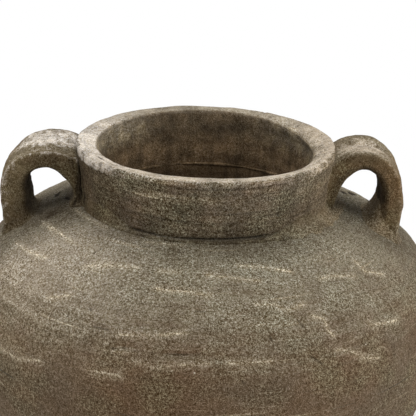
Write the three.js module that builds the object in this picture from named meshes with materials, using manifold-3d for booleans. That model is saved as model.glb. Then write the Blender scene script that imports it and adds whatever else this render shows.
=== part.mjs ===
// Cauldron vase: an unglazed earthenware pot with a wide round belly, a short neck with a thick flat lip,
// and two strap handles that loop from the neck down to the shoulder.
// Millimetres, +Z up. The origin is the centre of the base, on the surface that the vase stands on.
// The handles lie along X. Each piece is one that a potter forms by itself and lutes on with slip,
// so every seam keeps the same thin gap, and the coils over the seams are cut to the walls they cover.

import * as THREE from "three";
import { mergeVertices } from "three/addons/utils/BufferGeometryUtils.js";
import Module from "manifold-3d";

// Body, thrown in two halves that meet at the belly
const BELLY_RADIUS = 182;
const BELLY_HEIGHT = 143;
const BODY_WALL = 10;
const THROAT_DEPTH = 14;
const SHOULDER_FULLNESS = 2.4;
const LOWER_FULLNESS = 2.1;
const BASE_RADIUS = 85;
const BASE_THICKNESS = 11;

// Neck
const RIM_HEIGHT = 280;
const RIM_RADIUS = 95;
const NECK_HEIGHT = 43.5;
const NECK_FLARE = 5;
const NECK_WALL = 11.4;
const LIP_ROUNDING = 2.5;

// Slip in the seams, and the radii of the clay coils pressed over them
const SLIP_GAP = 0.3;
const NECK_COIL = 3.5;
const LINING_COIL = 3;
const BELLY_COIL = 5;
const BASE_COIL = 6;

// Flat strap handles, pulled by hand, so no two are alike: the left one has thicker limbs and a thinner,
// lower crown, reaches further out and leans more to the front
const STRAP_WIDTH = 45;
const STRAP_FULLNESS = 4.5;
const STRAP_SPREAD = 2;
const LEFT_LIMB = 19.5;
const LEFT_CROWN = 14;
const LEFT_REACH = 58;
const LEFT_RISE = -2.2;
const LEFT_LEAN = 4.5;
const RIGHT_LIMB = 17;
const RIGHT_CROWN = 14.4;
const RIGHT_REACH = 52;
const RIGHT_RISE = 3;
const RIGHT_LEAN = 1.2;
const INNER_LIMB = 9;
const SPRING_DROP = 38;
const ARCH_FULLNESS = 0.62;
const FOOT_TUCK = 4;
const FOOT_COIL = 3.5;
const FOOT_COIL_HEIGHT = 7;

// Facets
const ROUND_STEPS = 48;
const BULGE_STEPS = 10;
const EDGE_STEPS = 2;
const FLARE_STEPS = 5;
const CORNER_STEPS = 3;
const COIL_STEPS = 12;
const STRAP_STEPS = 26;
const FOOT_STEPS = 12;
const SECTION_STEPS = 20;

const neckFootRadius = RIM_RADIUS - NECK_FLARE;
const mouthRadius = neckFootRadius - NECK_WALL;
const neckSeam = RIM_HEIGHT - NECK_HEIGHT;
const baseSeam = BASE_THICKNESS + SLIP_GAP;

// Both halves of the body are bulges: quarters of a superellipse that stand upright at the belly.
const superRatio = (share, fullness) => (1 - share ** fullness) ** (1 / fullness);
const shoulderRise =
  (neckSeam - BELLY_HEIGHT) / superRatio(neckFootRadius / BELLY_RADIUS, SHOULDER_FULLNESS);
const lowerDepth = BELLY_HEIGHT / superRatio(BASE_RADIUS / BELLY_RADIUS, LOWER_FULLNESS);

function bulge(reach, rise, fullness, fromHeight, toHeight, steps) {
  const angleAt = (height) => Math.asin((height / rise) ** (fullness / 2));
  const first = angleAt(fromHeight);
  const last = angleAt(toHeight);
  return Array.from({ length: steps + 1 }, (_, step) => {
    const angle = first + ((last - first) * step) / steps;
    return new THREE.Vector2(
      reach * Math.cos(angle) ** (2 / fullness),
      rise * Math.sin(angle) ** (2 / fullness),
    );
  });
}

// Height of the shoulder's skin at a distance from the axis. A positive inset lies inside the wall.
function shoulderHeight(radius, inset) {
  const share = Math.min(radius / (BELLY_RADIUS - inset), 1);
  return BELLY_HEIGHT + (shoulderRise - inset) * superRatio(share, SHOULDER_FULLNESS);
}

// Line of the shoulder's skin from the belly up to a height
function shoulderLine(inset, fromHeight, toHeight) {
  return bulge(
    BELLY_RADIUS - inset,
    shoulderRise - inset,
    SHOULDER_FULLNESS,
    fromHeight - BELLY_HEIGHT,
    toHeight - BELLY_HEIGHT,
    BULGE_STEPS,
  ).map((point) => new THREE.Vector2(point.x, BELLY_HEIGHT + point.y));
}

// Line of the shoulder's inside from a height up to the flat ceiling under the neck, and in to the mouth
function ceilingLine(inset, fromHeight) {
  const ceiling = neckSeam - THROAT_DEPTH + BODY_WALL - inset;
  const mouth = mouthRadius + BODY_WALL - inset;
  return [...shoulderLine(inset, fromHeight, ceiling), new THREE.Vector2(mouth, ceiling)];
}

// Line of the lower body's skin from a height up to another, no higher than the belly
function lowerLine(inset, fromHeight, toHeight, steps) {
  return bulge(
    BELLY_RADIUS - inset,
    lowerDepth - inset,
    LOWER_FULLNESS,
    BELLY_HEIGHT - fromHeight,
    BELLY_HEIGHT - toHeight,
    steps,
  ).map((point) => new THREE.Vector2(point.x, BELLY_HEIGHT - point.y));
}

// Line of the neck from its foot to the lip, moved towards the axis by an inset
function neckLine(inset) {
  const foot = neckFootRadius - inset;
  const flare = new THREE.QuadraticBezierCurve(
    new THREE.Vector2(foot, neckSeam + SLIP_GAP),
    new THREE.Vector2(foot, neckSeam + NECK_HEIGHT / 2),
    new THREE.Vector2(RIM_RADIUS - inset, RIM_HEIGHT - LIP_ROUNDING),
  );
  return flare.getPoints(FLARE_STEPS);
}

function revolve(points) {
  const closed = points[0].x === 0 ? points : [...points, points[0]];
  return new THREE.LatheGeometry(closed, ROUND_STEPS).rotateX(Math.PI / 2);
}

const wasm = await Module();
wasm.setup();

function solidOf(geometry) {
  const bare = geometry.clone();
  bare.deleteAttribute("normal");
  bare.deleteAttribute("uv");
  const merged = mergeVertices(bare);
  return new wasm.Manifold(
    new wasm.Mesh({
      numProp: 3,
      vertProperties: merged.attributes.position.array,
      triVerts: new Uint32Array(merged.index.array),
    }),
  );
}

function geometryOf(solid) {
  const mesh = solid.getMesh();
  const geometry = new THREE.BufferGeometry();
  geometry.setAttribute("position", new THREE.BufferAttribute(mesh.vertProperties, 3));
  geometry.setIndex(new THREE.BufferAttribute(mesh.triVerts, 1));
  geometry.computeVertexNormals();
  return geometry;
}

// Disc with the belly's curve on its edge
function baseSlab() {
  return revolve([
    new THREE.Vector2(0, 0),
    ...lowerLine(0, 0, BASE_THICKNESS, EDGE_STEPS),
    new THREE.Vector2(0, BASE_THICKNESS),
  ]);
}

// Bowl that stands on the slab and ends in a flat ring at the belly
function lowerBody() {
  const outside = lowerLine(0, baseSeam, BELLY_HEIGHT, BULGE_STEPS);
  const inside = lowerLine(BODY_WALL, baseSeam, BELLY_HEIGHT, BULGE_STEPS);
  return revolve([...outside, ...inside.reverse()]);
}

// Dome that stands on the bowl and ends in a thick, flat land for the neck
function shoulder() {
  const bellySeam = BELLY_HEIGHT + SLIP_GAP;
  const outside = shoulderLine(0, bellySeam, neckSeam);
  const inside = ceilingLine(BODY_WALL, bellySeam);
  return revolve([...outside, new THREE.Vector2(mouthRadius, neckSeam), ...inside.reverse()]);
}

// Flaring ring with a flat lip whose edges are rounded
function neckCollar() {
  const lipEdge = (radius, from, to) => {
    const height = RIM_HEIGHT - LIP_ROUNDING;
    const edge = new THREE.EllipseCurve(radius, height, LIP_ROUNDING, LIP_ROUNDING, from, to);
    return edge.getPoints(CORNER_STEPS);
  };
  return revolve([
    ...neckLine(0).slice(0, -1),
    ...lipEdge(RIM_RADIUS - LIP_ROUNDING, 0, Math.PI / 2),
    ...lipEdge(RIM_RADIUS - NECK_WALL + LIP_ROUNDING, Math.PI / 2, Math.PI),
    ...neckLine(NECK_WALL).reverse().slice(1),
  ]);
}

// Round coil of clay laid in a ring along a seam
function coilRing(radius, height, size) {
  const section = new THREE.EllipseCurve(radius, height, size, size).getPoints(COIL_STEPS);
  return solidOf(revolve(section.slice(0, -1)));
}

// The hollow of the vase, one gap of slip smaller than its walls
function hollow() {
  const inset = BODY_WALL + SLIP_GAP;
  return solidOf(
    revolve([
      new THREE.Vector2(0, baseSeam),
      ...lowerLine(inset, baseSeam, BELLY_HEIGHT, BULGE_STEPS).slice(0, -1),
      ...ceilingLine(inset, BELLY_HEIGHT),
      ...neckLine(NECK_WALL + SLIP_GAP),
      new THREE.Vector2(0, RIM_HEIGHT - LIP_ROUNDING),
    ]),
  );
}

// Everything under the skin of shoulder and neck, one gap of slip larger
function underSkin() {
  const domeTop = neckSeam + SLIP_GAP;
  const neckTop = RIM_HEIGHT + NECK_HEIGHT;
  const dome = revolve([
    new THREE.Vector2(0, BELLY_HEIGHT),
    ...shoulderLine(-SLIP_GAP, BELLY_HEIGHT, domeTop),
    new THREE.Vector2(0, domeTop),
  ]);
  const neck = revolve([
    new THREE.Vector2(0, BELLY_HEIGHT),
    new THREE.Vector2(neckFootRadius + SLIP_GAP, BELLY_HEIGHT),
    ...neckLine(-SLIP_GAP),
    new THREE.Vector2(RIM_RADIUS + SLIP_GAP, neckTop),
    new THREE.Vector2(0, neckTop),
  ]);
  return solidOf(dome).add(solidOf(neck));
}

// A strap in its own upright plane: x is the distance from the vase's axis, y the height.
// Its midline climbs the neck, arches out over the finger gap and comes down to the shoulder.
// The strap is as thick as limb where it runs upright and as crown where it runs level.
function strapOf({ limb, crown, reach, rise, lean }) {
  const inner = neckFootRadius + INNER_LIMB - limb / 2;
  const outer = RIM_RADIUS + reach - limb / 2;
  const middle = (inner + outer) / 2;
  const spring = RIM_HEIGHT - SPRING_DROP;
  const top = RIM_HEIGHT + rise - crown / 2;
  const footHeight = (radius) => shoulderHeight(radius, 0) - limb;
  const midline = new THREE.Path();
  midline.moveTo(inner, footHeight(inner));
  midline.lineTo(inner, spring);
  const shoulderOfArch = spring + ARCH_FULLNESS * (top - spring);
  const easing = ARCH_FULLNESS * (outer - middle);
  midline.bezierCurveTo(inner, shoulderOfArch, middle - easing, top, middle, top);
  midline.bezierCurveTo(middle + easing, top, outer, shoulderOfArch, outer, spring);
  midline.lineTo(outer - FOOT_TUCK, footHeight(outer - FOOT_TUCK));
  const outerLeg = midline.curves.at(-1);
  return { midline, limb, crown, lean, legShare: 1 - outerLeg.getLength() / midline.getLength() };
}

// Closed loft of flat sections with rounded edges along the midline, from a share of its length to the outer foot.
// The strap spreads towards both feet, and its level stretch leans over, lower on its +y edge.
// growthAt gives how far the skin stands out from the bare strap at a point.
function strapLoft({ midline, limb, crown, lean }, fromShare, steps, growthAt) {
  const rounded = (value) => Math.sign(value) * Math.abs(value) ** (2 / STRAP_FULLNESS);
  const positions = [];
  const faces = [];
  for (let station = 0; station <= steps; station++) {
    const share = fromShare + ((1 - fromShare) * station) / steps;
    const centre = midline.getPointAt(share);
    const along = midline.getTangentAt(share);
    const level = along.x ** 2;
    const thickness = limb + (crown - limb) * level;
    const halfWidth = STRAP_WIDTH / 2 + STRAP_SPREAD * Math.cos(share * Math.PI) ** 2;
    for (let step = 0; step < SECTION_STEPS; step++) {
      const angle = (step / SECTION_STEPS) * 2 * Math.PI;
      const out = (rounded(Math.sin(angle)) * thickness) / 2;
      const sideways = rounded(Math.cos(angle));
      const skin = new THREE.Vector3(
        centre.x - along.y * out,
        sideways * halfWidth,
        centre.y + along.x * out - (sideways * level * lean) / 2,
      );
      const away = new THREE.Vector3(-along.y * Math.sin(angle), Math.cos(angle), along.x * Math.sin(angle));
      skin.addScaledVector(away, growthAt(skin));
      positions.push(skin.x, skin.y, skin.z);
    }
  }
  for (let station = 0; station < steps; station++) {
    const low = station * SECTION_STEPS;
    const high = low + SECTION_STEPS;
    for (let step = 0; step < SECTION_STEPS; step++) {
      const next = (step + 1) % SECTION_STEPS;
      faces.push(low + step, low + next, high + next, low + step, high + next, high + step);
    }
  }
  const lastRing = steps * SECTION_STEPS;
  for (let step = 1; step < SECTION_STEPS - 1; step++) {
    faces.push(0, step + 1, step, lastRing, lastRing + step, lastRing + step + 1);
  }
  const geometry = new THREE.BufferGeometry();
  geometry.setAttribute("position", new THREE.Float32BufferAttribute(positions, 3));
  geometry.setIndex(faces);
  return solidOf(geometry);
}

const skin = underSkin();
const room = hollow();
const neckSeamCoil = coilRing(neckFootRadius, neckSeam, NECK_COIL).subtract(skin);
const neckLiningCoil = coilRing(mouthRadius, neckSeam, LINING_COIL).intersect(room);
const bellySeamCoil = coilRing(BELLY_RADIUS - BODY_WALL, BELLY_HEIGHT, BELLY_COIL).intersect(room);
const baseCorner = lowerLine(BODY_WALL, baseSeam, BELLY_HEIGHT, 1)[0];
const baseSeamCoil = coilRing(baseCorner.x, baseCorner.y, BASE_COIL).intersect(room);

// A handle seats on the neck, the shoulder and the coil between them.
const handleSeat = skin.add(coilRing(neckFootRadius, neckSeam, NECK_COIL + SLIP_GAP));

function strapHandle(strap) {
  return strapLoft(strap, 0, STRAP_STEPS, () => 0).subtract(handleSeat);
}

// Coil round the outer foot of a strap: it stands out most on the shoulder and runs out up the strap.
function footCoil(strap) {
  const growthAt = (point) => {
    const height = point.z - shoulderHeight(Math.hypot(point.x, point.y), 0);
    return FOOT_COIL * THREE.MathUtils.clamp(1 - height / FOOT_COIL_HEIGHT, 0, 1);
  };
  const gapRound = strapLoft(strap, 0, STRAP_STEPS, () => SLIP_GAP);
  const skirt = strapLoft(strap, strap.legShare, FOOT_STEPS, growthAt);
  return skirt.subtract(gapRound).subtract(handleSeat);
}

const bodyClay = new THREE.MeshStandardMaterial({ color: "#8d7f68", roughness: 0.95, metalness: 0 });
const neckClay = new THREE.MeshStandardMaterial({ color: "#7d705b", roughness: 0.95, metalness: 0 });
const handleClay = new THREE.MeshStandardMaterial({ color: "#857863", roughness: 0.93, metalness: 0 });
const coilClay = new THREE.MeshStandardMaterial({ color: "#6b5f4c", roughness: 0.96, metalness: 0 });

function named(name, geometry, material) {
  const mesh = new THREE.Mesh(geometry, material);
  mesh.name = name;
  return mesh;
}

const vase = new THREE.Group();
vase.add(
  named("base_slab", baseSlab(), bodyClay),
  named("lower_body", lowerBody(), bodyClay),
  named("shoulder", shoulder(), bodyClay),
  named("neck_collar", neckCollar(), neckClay),
  named("neck_seam_coil", geometryOf(neckSeamCoil), coilClay),
  named("neck_lining_coil", geometryOf(neckLiningCoil), coilClay),
  named("belly_seam_coil", geometryOf(bellySeamCoil), coilClay),
  named("base_seam_coil", geometryOf(baseSeamCoil), coilClay),
);
const leftStrap = strapOf({
  limb: LEFT_LIMB,
  crown: LEFT_CROWN,
  reach: LEFT_REACH,
  rise: LEFT_RISE,
  lean: LEFT_LEAN,
});
const rightStrap = strapOf({
  limb: RIGHT_LIMB,
  crown: RIGHT_CROWN,
  reach: RIGHT_REACH,
  rise: RIGHT_RISE,
  lean: -RIGHT_LEAN,
});
for (const [side, strap, turn] of [["left", leftStrap, Math.PI], ["right", rightStrap, 0]]) {
  const ear = new THREE.Group();
  ear.rotation.z = turn;
  ear.add(
    named(`${side}_handle`, geometryOf(strapHandle(strap)), handleClay),
    named(`${side}_handle_foot_coil`, geometryOf(footCoil(strap)), coilClay),
  );
  vase.add(ear);
}

export default vase;
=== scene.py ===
# Unglazed earthenware cauldron vase. Every clay piece of the CAD frame is formed again here with the marks
# of the hands that made it: throwing rings, drag lines, pits, a worn lip and smeared seams.
# Metres, in the frame of the CAD model: +Z up, handles along X, the viewer at -Y.

import math

import bpy
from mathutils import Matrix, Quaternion, Vector


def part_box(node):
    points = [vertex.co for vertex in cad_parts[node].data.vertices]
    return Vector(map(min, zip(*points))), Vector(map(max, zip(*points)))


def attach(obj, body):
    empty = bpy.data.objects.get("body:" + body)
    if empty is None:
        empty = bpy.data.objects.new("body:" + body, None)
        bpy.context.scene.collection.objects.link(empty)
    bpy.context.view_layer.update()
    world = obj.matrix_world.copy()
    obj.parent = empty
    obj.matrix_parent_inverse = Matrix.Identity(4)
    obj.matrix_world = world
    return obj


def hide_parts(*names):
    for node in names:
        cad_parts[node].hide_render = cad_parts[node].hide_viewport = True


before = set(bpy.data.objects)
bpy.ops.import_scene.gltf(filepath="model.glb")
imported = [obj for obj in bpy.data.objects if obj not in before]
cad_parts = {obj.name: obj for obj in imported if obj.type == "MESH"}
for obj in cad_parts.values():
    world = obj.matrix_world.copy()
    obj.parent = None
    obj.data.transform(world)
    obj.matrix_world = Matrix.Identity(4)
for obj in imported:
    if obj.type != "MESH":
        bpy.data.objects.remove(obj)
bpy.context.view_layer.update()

MM = 0.001

# Sizes that the frame gives
BELLY_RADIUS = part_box("lower_body")[1].x
BELLY_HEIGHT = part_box("lower_body")[1].z
NECK_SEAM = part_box("shoulder")[1].z
RIM_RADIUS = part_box("neck_collar")[1].x
RIM_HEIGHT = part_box("neck_collar")[1].z
BASE_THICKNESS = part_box("base_slab")[1].z

# Sizes inside those boxes, the same as in the CAD model
BODY_WALL = 10 * MM
THROAT_DEPTH = 14 * MM
SHOULDER_FULLNESS = 2.4
LOWER_FULLNESS = 2.1
BASE_RADIUS = 85 * MM
NECK_FLARE = 5 * MM
NECK_FLARE_POWER = 1.7
NECK_WALL = 11.4 * MM
BELLY_COIL = 5 * MM
BASE_COIL = 6 * MM

# How far the neck was drawn out towards the handles
NECK_PULL_LEFT = 4.2 * MM
NECK_PULL_RIGHT = 1.8 * MM
NECK_PULL_SPAN = math.radians(40)

# Steps along an outline: fine where the skin is seen, coarse where it is hidden; closer points are the same
FINE = 1.7 * MM
COARSE = 6 * MM
SAME_POINT = 0.001 * MM

# Radius of the circle that an outline is swept along, and how deep a strap goes into what it stands on
WHEEL_AXIS = 1 * MM
SINK = 0.8 * MM

NECK_FOOT = RIM_RADIUS - NECK_FLARE
MOUTH = NECK_FOOT - NECK_WALL
NECK_HEIGHT = RIM_HEIGHT - NECK_SEAM


def clamped(value):
    return min(max(value, 0.0), 1.0)


def soft(value):
    """Clamped to 0 and 1, with a gentle start and end."""
    share = clamped(value)
    return share * share * (3 - 2 * share)


def between(first, second, share):
    return first + (second - first) * share


def super_ratio(share, fullness):
    return max(0.0, 1 - share**fullness) ** (1 / fullness)


SHOULDER_RISE = (NECK_SEAM - BELLY_HEIGHT) / super_ratio(NECK_FOOT / BELLY_RADIUS, SHOULDER_FULLNESS)
LOWER_DEPTH = BELLY_HEIGHT / super_ratio(BASE_RADIUS / BELLY_RADIUS, LOWER_FULLNESS)


def shoulder_height(radius):
    """Height of the shoulder's skin at a distance from the axis."""
    share = min(radius / BELLY_RADIUS, 1.0)
    return BELLY_HEIGHT + SHOULDER_RISE * super_ratio(share, SHOULDER_FULLNESS)


def bulge(reach, rise, fullness, from_height, to_height, steps=240):
    """Part of a superellipse quarter that stands upright at the belly, as (radius, height over the belly)."""
    first = math.asin(min(1.0, (from_height / rise) ** (fullness / 2)))
    last = math.asin(min(1.0, (to_height / rise) ** (fullness / 2)))
    angles = [between(first, last, step / steps) for step in range(steps + 1)]
    power = 2 / fullness
    return [(reach * math.cos(angle) ** power, rise * math.sin(angle) ** power) for angle in angles]


def shoulder_line(inset, to_height):
    rise = to_height - BELLY_HEIGHT
    line = bulge(BELLY_RADIUS - inset, SHOULDER_RISE - inset, SHOULDER_FULLNESS, 0, rise)
    return [(radius, BELLY_HEIGHT + height) for radius, height in line]


def lower_line(inset, from_height, to_height):
    depths = BELLY_HEIGHT - from_height, BELLY_HEIGHT - to_height
    line = bulge(BELLY_RADIUS - inset, LOWER_DEPTH - inset, LOWER_FULLNESS, *depths)
    return [(radius, BELLY_HEIGHT - depth) for radius, depth in line]


def neck_radius(height):
    """Outer radius of the neck: upright at its foot, flaring evenly towards the lip."""
    share = clamped((height - NECK_SEAM) / NECK_HEIGHT)
    return NECK_FOOT + NECK_FLARE * share**NECK_FLARE_POWER


def neck_pull(x, y):
    """How far the neck was drawn out to the sides, where the handles were pressed on."""
    left = NECK_PULL_LEFT * math.exp(-(math.atan2(y, -x) / NECK_PULL_SPAN) ** 2)
    right = NECK_PULL_RIGHT * math.exp(-(math.atan2(y, x) / NECK_PULL_SPAN) ** 2)
    return left + right


def eased(start, first, second, end, steps=60):
    """A cubic curve of (x, y) pairs between two points, drawn towards two others."""
    curve = []
    for step in range(steps + 1):
        share = step / steps
        rest = 1 - share
        pulls = (rest**3, 3 * rest**2 * share, 3 * rest * share**2, share**3)
        points = list(zip((start, first, second, end), pulls))
        curve.append(tuple(sum(point[axis] * pull for point, pull in points) for axis in (0, 1)))
    return curve


# How far a rounded edge is drawn towards its corner: this makes it nearly a quarter circle
CORNER_PULL = 0.55


def rounded(start, end):
    """A rounded edge between a wall and a level top; either may come first."""
    corner = (start[0], end[1]) if end[1] > start[1] else (end[0], start[1])
    pulls = [tuple(between(a, b, CORNER_PULL) for a, b in zip(point, corner)) for point in (start, end)]
    return eased(start, *pulls, end, steps=24)


# Notes on the mesh: inside, wear with a painted highlight on strap edges, grime with painted shade
NOTES = ("inside", "wear_and_highlight", "grime_and_shade")


def stretch(line, spacing, inside=0.0, wear_and_highlight=0.0, grime_and_shade=0.0):
    """A line of (radius, height) pairs in even steps, with notes: how far inside the pot, worn, and grimy
    with painted shade.
    """
    lengths = [0.0]
    for start, end in zip(line, line[1:]):
        lengths.append(lengths[-1] + math.dist(start, end))
    count = max(1, round(lengths[-1] / spacing))
    points = []
    piece = 0
    for step in range(count + 1):
        target = lengths[-1] * step / count
        while piece < len(line) - 2 and lengths[piece + 1] < target:
            piece += 1
        span = lengths[piece + 1] - lengths[piece]
        share = (target - lengths[piece]) / span if span else 0.0
        radius, height = (between(a, b, share) for a, b in zip(line[piece], line[piece + 1]))
        points.append((radius, height, inside, wear_and_highlight, grime_and_shade))
    return points


def joined(*stretches):
    """Stretches end to end, without the points that they share."""
    outline = []
    for points in stretches:
        for point in points:
            if not outline or math.dist(point[:2], outline[-1][:2]) > SAME_POINT:
                outline.append(point)
    if math.dist(outline[0][:2], outline[-1][:2]) < SAME_POINT:
        outline.pop()
    return outline


def placed(name, data):
    """A new object in the scene."""
    thing = bpy.data.objects.new(name, data)
    bpy.context.scene.collection.objects.link(thing)
    return thing


# Nodes

def picked(sockets, key):
    if isinstance(key, int):
        return sockets[key]
    return next(socket for socket in sockets if socket.enabled and socket.name == key)


def add(tree, kind, links=None, **settings):
    """Adds a node. Each link is a value, a socket, or a node whose first output in use is meant."""
    node = tree.nodes.new(kind)
    for name, value in settings.items():
        setattr(node, name, value)
    for key, value in (links or {}).items():
        socket = picked(node.inputs, key)
        if isinstance(value, bpy.types.Node):
            value = next(output for output in value.outputs if output.enabled)
        if isinstance(value, bpy.types.NodeSocket):
            tree.links.new(value, socket)
        else:
            socket.default_value = value
    return node


def empty_tree(owner):
    """The node tree of a new material or world, cleared."""
    owner.use_nodes = True
    owner.node_tree.nodes.clear()
    return owner.node_tree


def climb_of(tree, place):
    """The way up the wall from the belly, measured over its slope, so that drag lines run round the pot."""
    parts = add(tree, "ShaderNodeSeparateXYZ", {0: place}).outputs
    flat = add(tree, "ShaderNodeCombineXYZ", {"X": parts["X"], "Y": parts["Y"]})
    radius = picked(add(tree, "ShaderNodeVectorMath", {0: flat}, operation="LENGTH").outputs, "Value")
    rise = add(tree, "ShaderNodeMath", {0: parts["Z"], 1: BELLY_HEIGHT}, operation="SUBTRACT")
    side = add(tree, "ShaderNodeMath", {0: rise}, operation="SIGN")
    inward = add(tree, "ShaderNodeMath", {0: BELLY_RADIUS, 1: radius}, operation="SUBTRACT")
    climb = add(tree, "ShaderNodeMath", {0: inward, 1: side, 2: rise}, operation="MULTIPLY_ADD")
    return add(tree, "ShaderNodeCombineXYZ", {"X": parts["X"], "Y": parts["Y"], "Z": climb})


# Geometry Nodes trees

SKIN_SIZES = [
    ("Wobble", 0.8 * MM),
    ("Wobble span", 70 * MM),
    ("Lump", 0.25 * MM),
    ("Lump span", 11 * MM),
    ("Ring depth", 0.3 * MM),
    ("Ring spacing", 7 * MM),
    ("Ring run", 80 * MM),
    ("Pit depth", 0.8 * MM),
    ("Pit spacing", 17 * MM),
    ("Pit size", 2.2 * MM),
    ("Seam cut", 0.0),
    ("Scratch depth", 0.7 * MM),
    ("Gouge depth", 0.7 * MM),
]
SKIN_SEED = 7
FOOT_RIM = 6 * MM
MERGE_REACH = 0.01 * MM
SHARP_EDGE = math.radians(50)

# Lines that a skin notes its distance from, and the width and depth of the cut along those that are cut in
GUIDES = {"Seams": "seam", "Drags": "drag", "Scratches": "scratch", "Gouges": "gouge"}
GOUGE_WIDTH = 2.7 * MM
CUTS = {
    "Seams": (2.2 * MM, "Seam cut"),
    "Scratches": (1.8 * MM, "Scratch depth"),
    "Gouges": (GOUGE_WIDTH, "Gouge depth"),
}


def new_tree(name, sizes):
    """A tree with named inputs: lengths, whole numbers, the guide lines and the clay."""
    tree = bpy.data.node_groups.new(name, "GeometryNodeTree")
    tree.interface.new_socket("Geometry", in_out="INPUT", socket_type="NodeSocketGeometry")
    for size, value in sizes:
        kind = "NodeSocketInt" if isinstance(value, int) else "NodeSocketFloat"
        tree.interface.new_socket(size, in_out="INPUT", socket_type=kind).default_value = value
    for lines in GUIDES:
        tree.interface.new_socket(lines, in_out="INPUT", socket_type="NodeSocketObject")
    tree.interface.new_socket("Clay", in_out="INPUT", socket_type="NodeSocketMaterial")
    tree.interface.new_socket("Geometry", in_out="OUTPUT", socket_type="NodeSocketGeometry")
    return tree, tree.nodes.new("NodeGroupInput").outputs, tree.nodes.new("NodeGroupOutput").inputs


def clay_skin(tree, given, mesh):
    """Moves a smooth mesh by what hands and wheel leave on it, and notes the marks for the clay's colour."""
    place = add(tree, "GeometryNodeInputPosition")
    facing = add(tree, "GeometryNodeInputNormal")

    # Soft unevenness of the whole form, smaller lumps, and throwing rings, which come and go along the turn
    ring_size = add(tree, "ShaderNodeCombineXYZ",
                    {"X": given["Ring run"], "Y": given["Ring run"], "Z": given["Ring spacing"]})
    lay = climb_of(tree, place)
    ring_place = add(tree, "ShaderNodeVectorMath", {0: lay, 1: ring_size}, operation="DIVIDE")
    wobble_scale, lump_scale, pit_scale = (
        add(tree, "ShaderNodeMath", {0: 1.0, 1: given[span]}, operation="DIVIDE")
        for span in ("Wobble span", "Lump span", "Pit spacing")
    )
    swells = (
        # depth, place, scale, detail, the noise's lowest level in use
        ("Wobble", place, wobble_scale, 1.0, 0.25),
        ("Lump", place, lump_scale, 1.0, 0.25),
        ("Ring depth", ring_place, 1.0, 2.0, 0.3),
    )
    moved = 0.0
    for depth, where, scale, detail, lowest in swells:
        noise = add(tree, "ShaderNodeTexNoise",
                    {"Vector": where, "W": given["Seed"], "Scale": scale, "Detail": detail},
                    noise_dimensions="4D")
        level = add(tree, "ShaderNodeMapRange",
                    {"Value": noise, "From Min": lowest, "From Max": 1 - lowest,
                     "To Min": -1.0, "To Max": 1.0},
                    clamp=False)
        moved = add(tree, "ShaderNodeMath", {0: level, 1: given[depth], 2: moved}, operation="MULTIPLY_ADD")

    # Pits where grains fell out
    cells = add(tree, "ShaderNodeTexVoronoi",
                {"Vector": place, "W": given["Seed"], "Scale": pit_scale}, voronoi_dimensions="4D")
    chance = add(tree, "ShaderNodeSeparateXYZ", {0: cells.outputs["Color"]})
    reach = add(tree, "ShaderNodeMath", {0: given["Pit size"], 1: chance.outputs["X"]}, operation="MULTIPLY")
    far = add(tree, "ShaderNodeMath", {0: cells.outputs["Distance"], 1: given["Pit spacing"]},
              operation="MULTIPLY")
    pit = add(tree, "ShaderNodeMapRange", {"Value": far, "From Min": reach, "From Max": 0.0},
              interpolation_type="SMOOTHSTEP")
    noted = [("pit", pit)]
    cuts = [(pit, given["Pit depth"])]

    # Distance to the guide lines; all but the drag marks are cut in
    for lines, note in GUIDES.items():
        guide = add(tree, "GeometryNodeObjectInfo", {"Object": given[lines]})
        near = add(tree, "GeometryNodeProximity", {0: guide.outputs["Geometry"]}, target_element="EDGES")
        noted.append((note, near.outputs["Distance"]))
        if lines in CUTS:
            width, depth = CUTS[lines]
            groove = add(tree, "ShaderNodeMapRange",
                         {"Value": near.outputs["Distance"], "From Min": width, "From Max": 0.0},
                         interpolation_type="SMOOTHSTEP")
            cuts.append((groove, given[depth]))
    for note, value in noted:
        mesh = add(tree, "GeometryNodeStoreNamedAttribute", {"Geometry": mesh, "Name": note, "Value": value},
                   data_type="FLOAT", domain="POINT")
    for shape, depth in cuts:
        drop = add(tree, "ShaderNodeMath", {0: shape, 1: depth}, operation="MULTIPLY")
        moved = add(tree, "ShaderNodeMath", {0: moved, 1: drop}, operation="SUBTRACT")

    # The foot stays flat on the floor
    height = add(tree, "ShaderNodeSeparateXYZ", {0: place}).outputs["Z"]
    free = add(tree, "ShaderNodeMapRange", {"Value": height, "From Min": 0.0, "From Max": FOOT_RIM})
    moved = add(tree, "ShaderNodeMath", {0: moved, 1: free}, operation="MULTIPLY")
    offset = add(tree, "ShaderNodeVectorMath", {0: facing, "Scale": moved}, operation="SCALE")
    return add(tree, "GeometryNodeSetPosition", {"Geometry": mesh, "Offset": offset})


def finished(tree, given, result, mesh):
    smooth = add(tree, "GeometryNodeSetShadeSmooth", {"Geometry": mesh})
    real = add(tree, "GeometryNodeRealizeInstances", {"Geometry": smooth})
    clay = add(tree, "GeometryNodeSetMaterial", {"Geometry": real, "Material": given["Clay"]})
    tree.links.new(clay.outputs[0], result[0])
    return tree


def thrown_wall_tree():
    """Turns an outline round the wheel's axis, then gives it a clay skin."""
    sizes = [("Round steps", 512), ("Seed", SKIN_SEED), *SKIN_SIZES]
    tree, given, result = new_tree("thrown wall", sizes)
    outline = add(tree, "GeometryNodeMeshToCurve", {"Mesh": given["Geometry"]})
    wheel = add(tree, "GeometryNodeCurvePrimitiveCircle",
                {"Resolution": given["Round steps"], "Radius": WHEEL_AXIS})
    turned = add(tree, "GeometryNodeCurveToMesh", {"Curve": wheel, "Profile Curve": outline})
    closed = add(tree, "GeometryNodeMergeByDistance", {"Geometry": turned, "Distance": MERGE_REACH})
    return finished(tree, given, result, clay_skin(tree, given, closed))


def hand_formed_tree():
    """Gives a piece that was shaped by hand its clay skin."""
    tree, given, result = new_tree("hand formed", [("Seed", SKIN_SEED), *SKIN_SIZES])
    return finished(tree, given, result, clay_skin(tree, given, given["Geometry"]))


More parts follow.
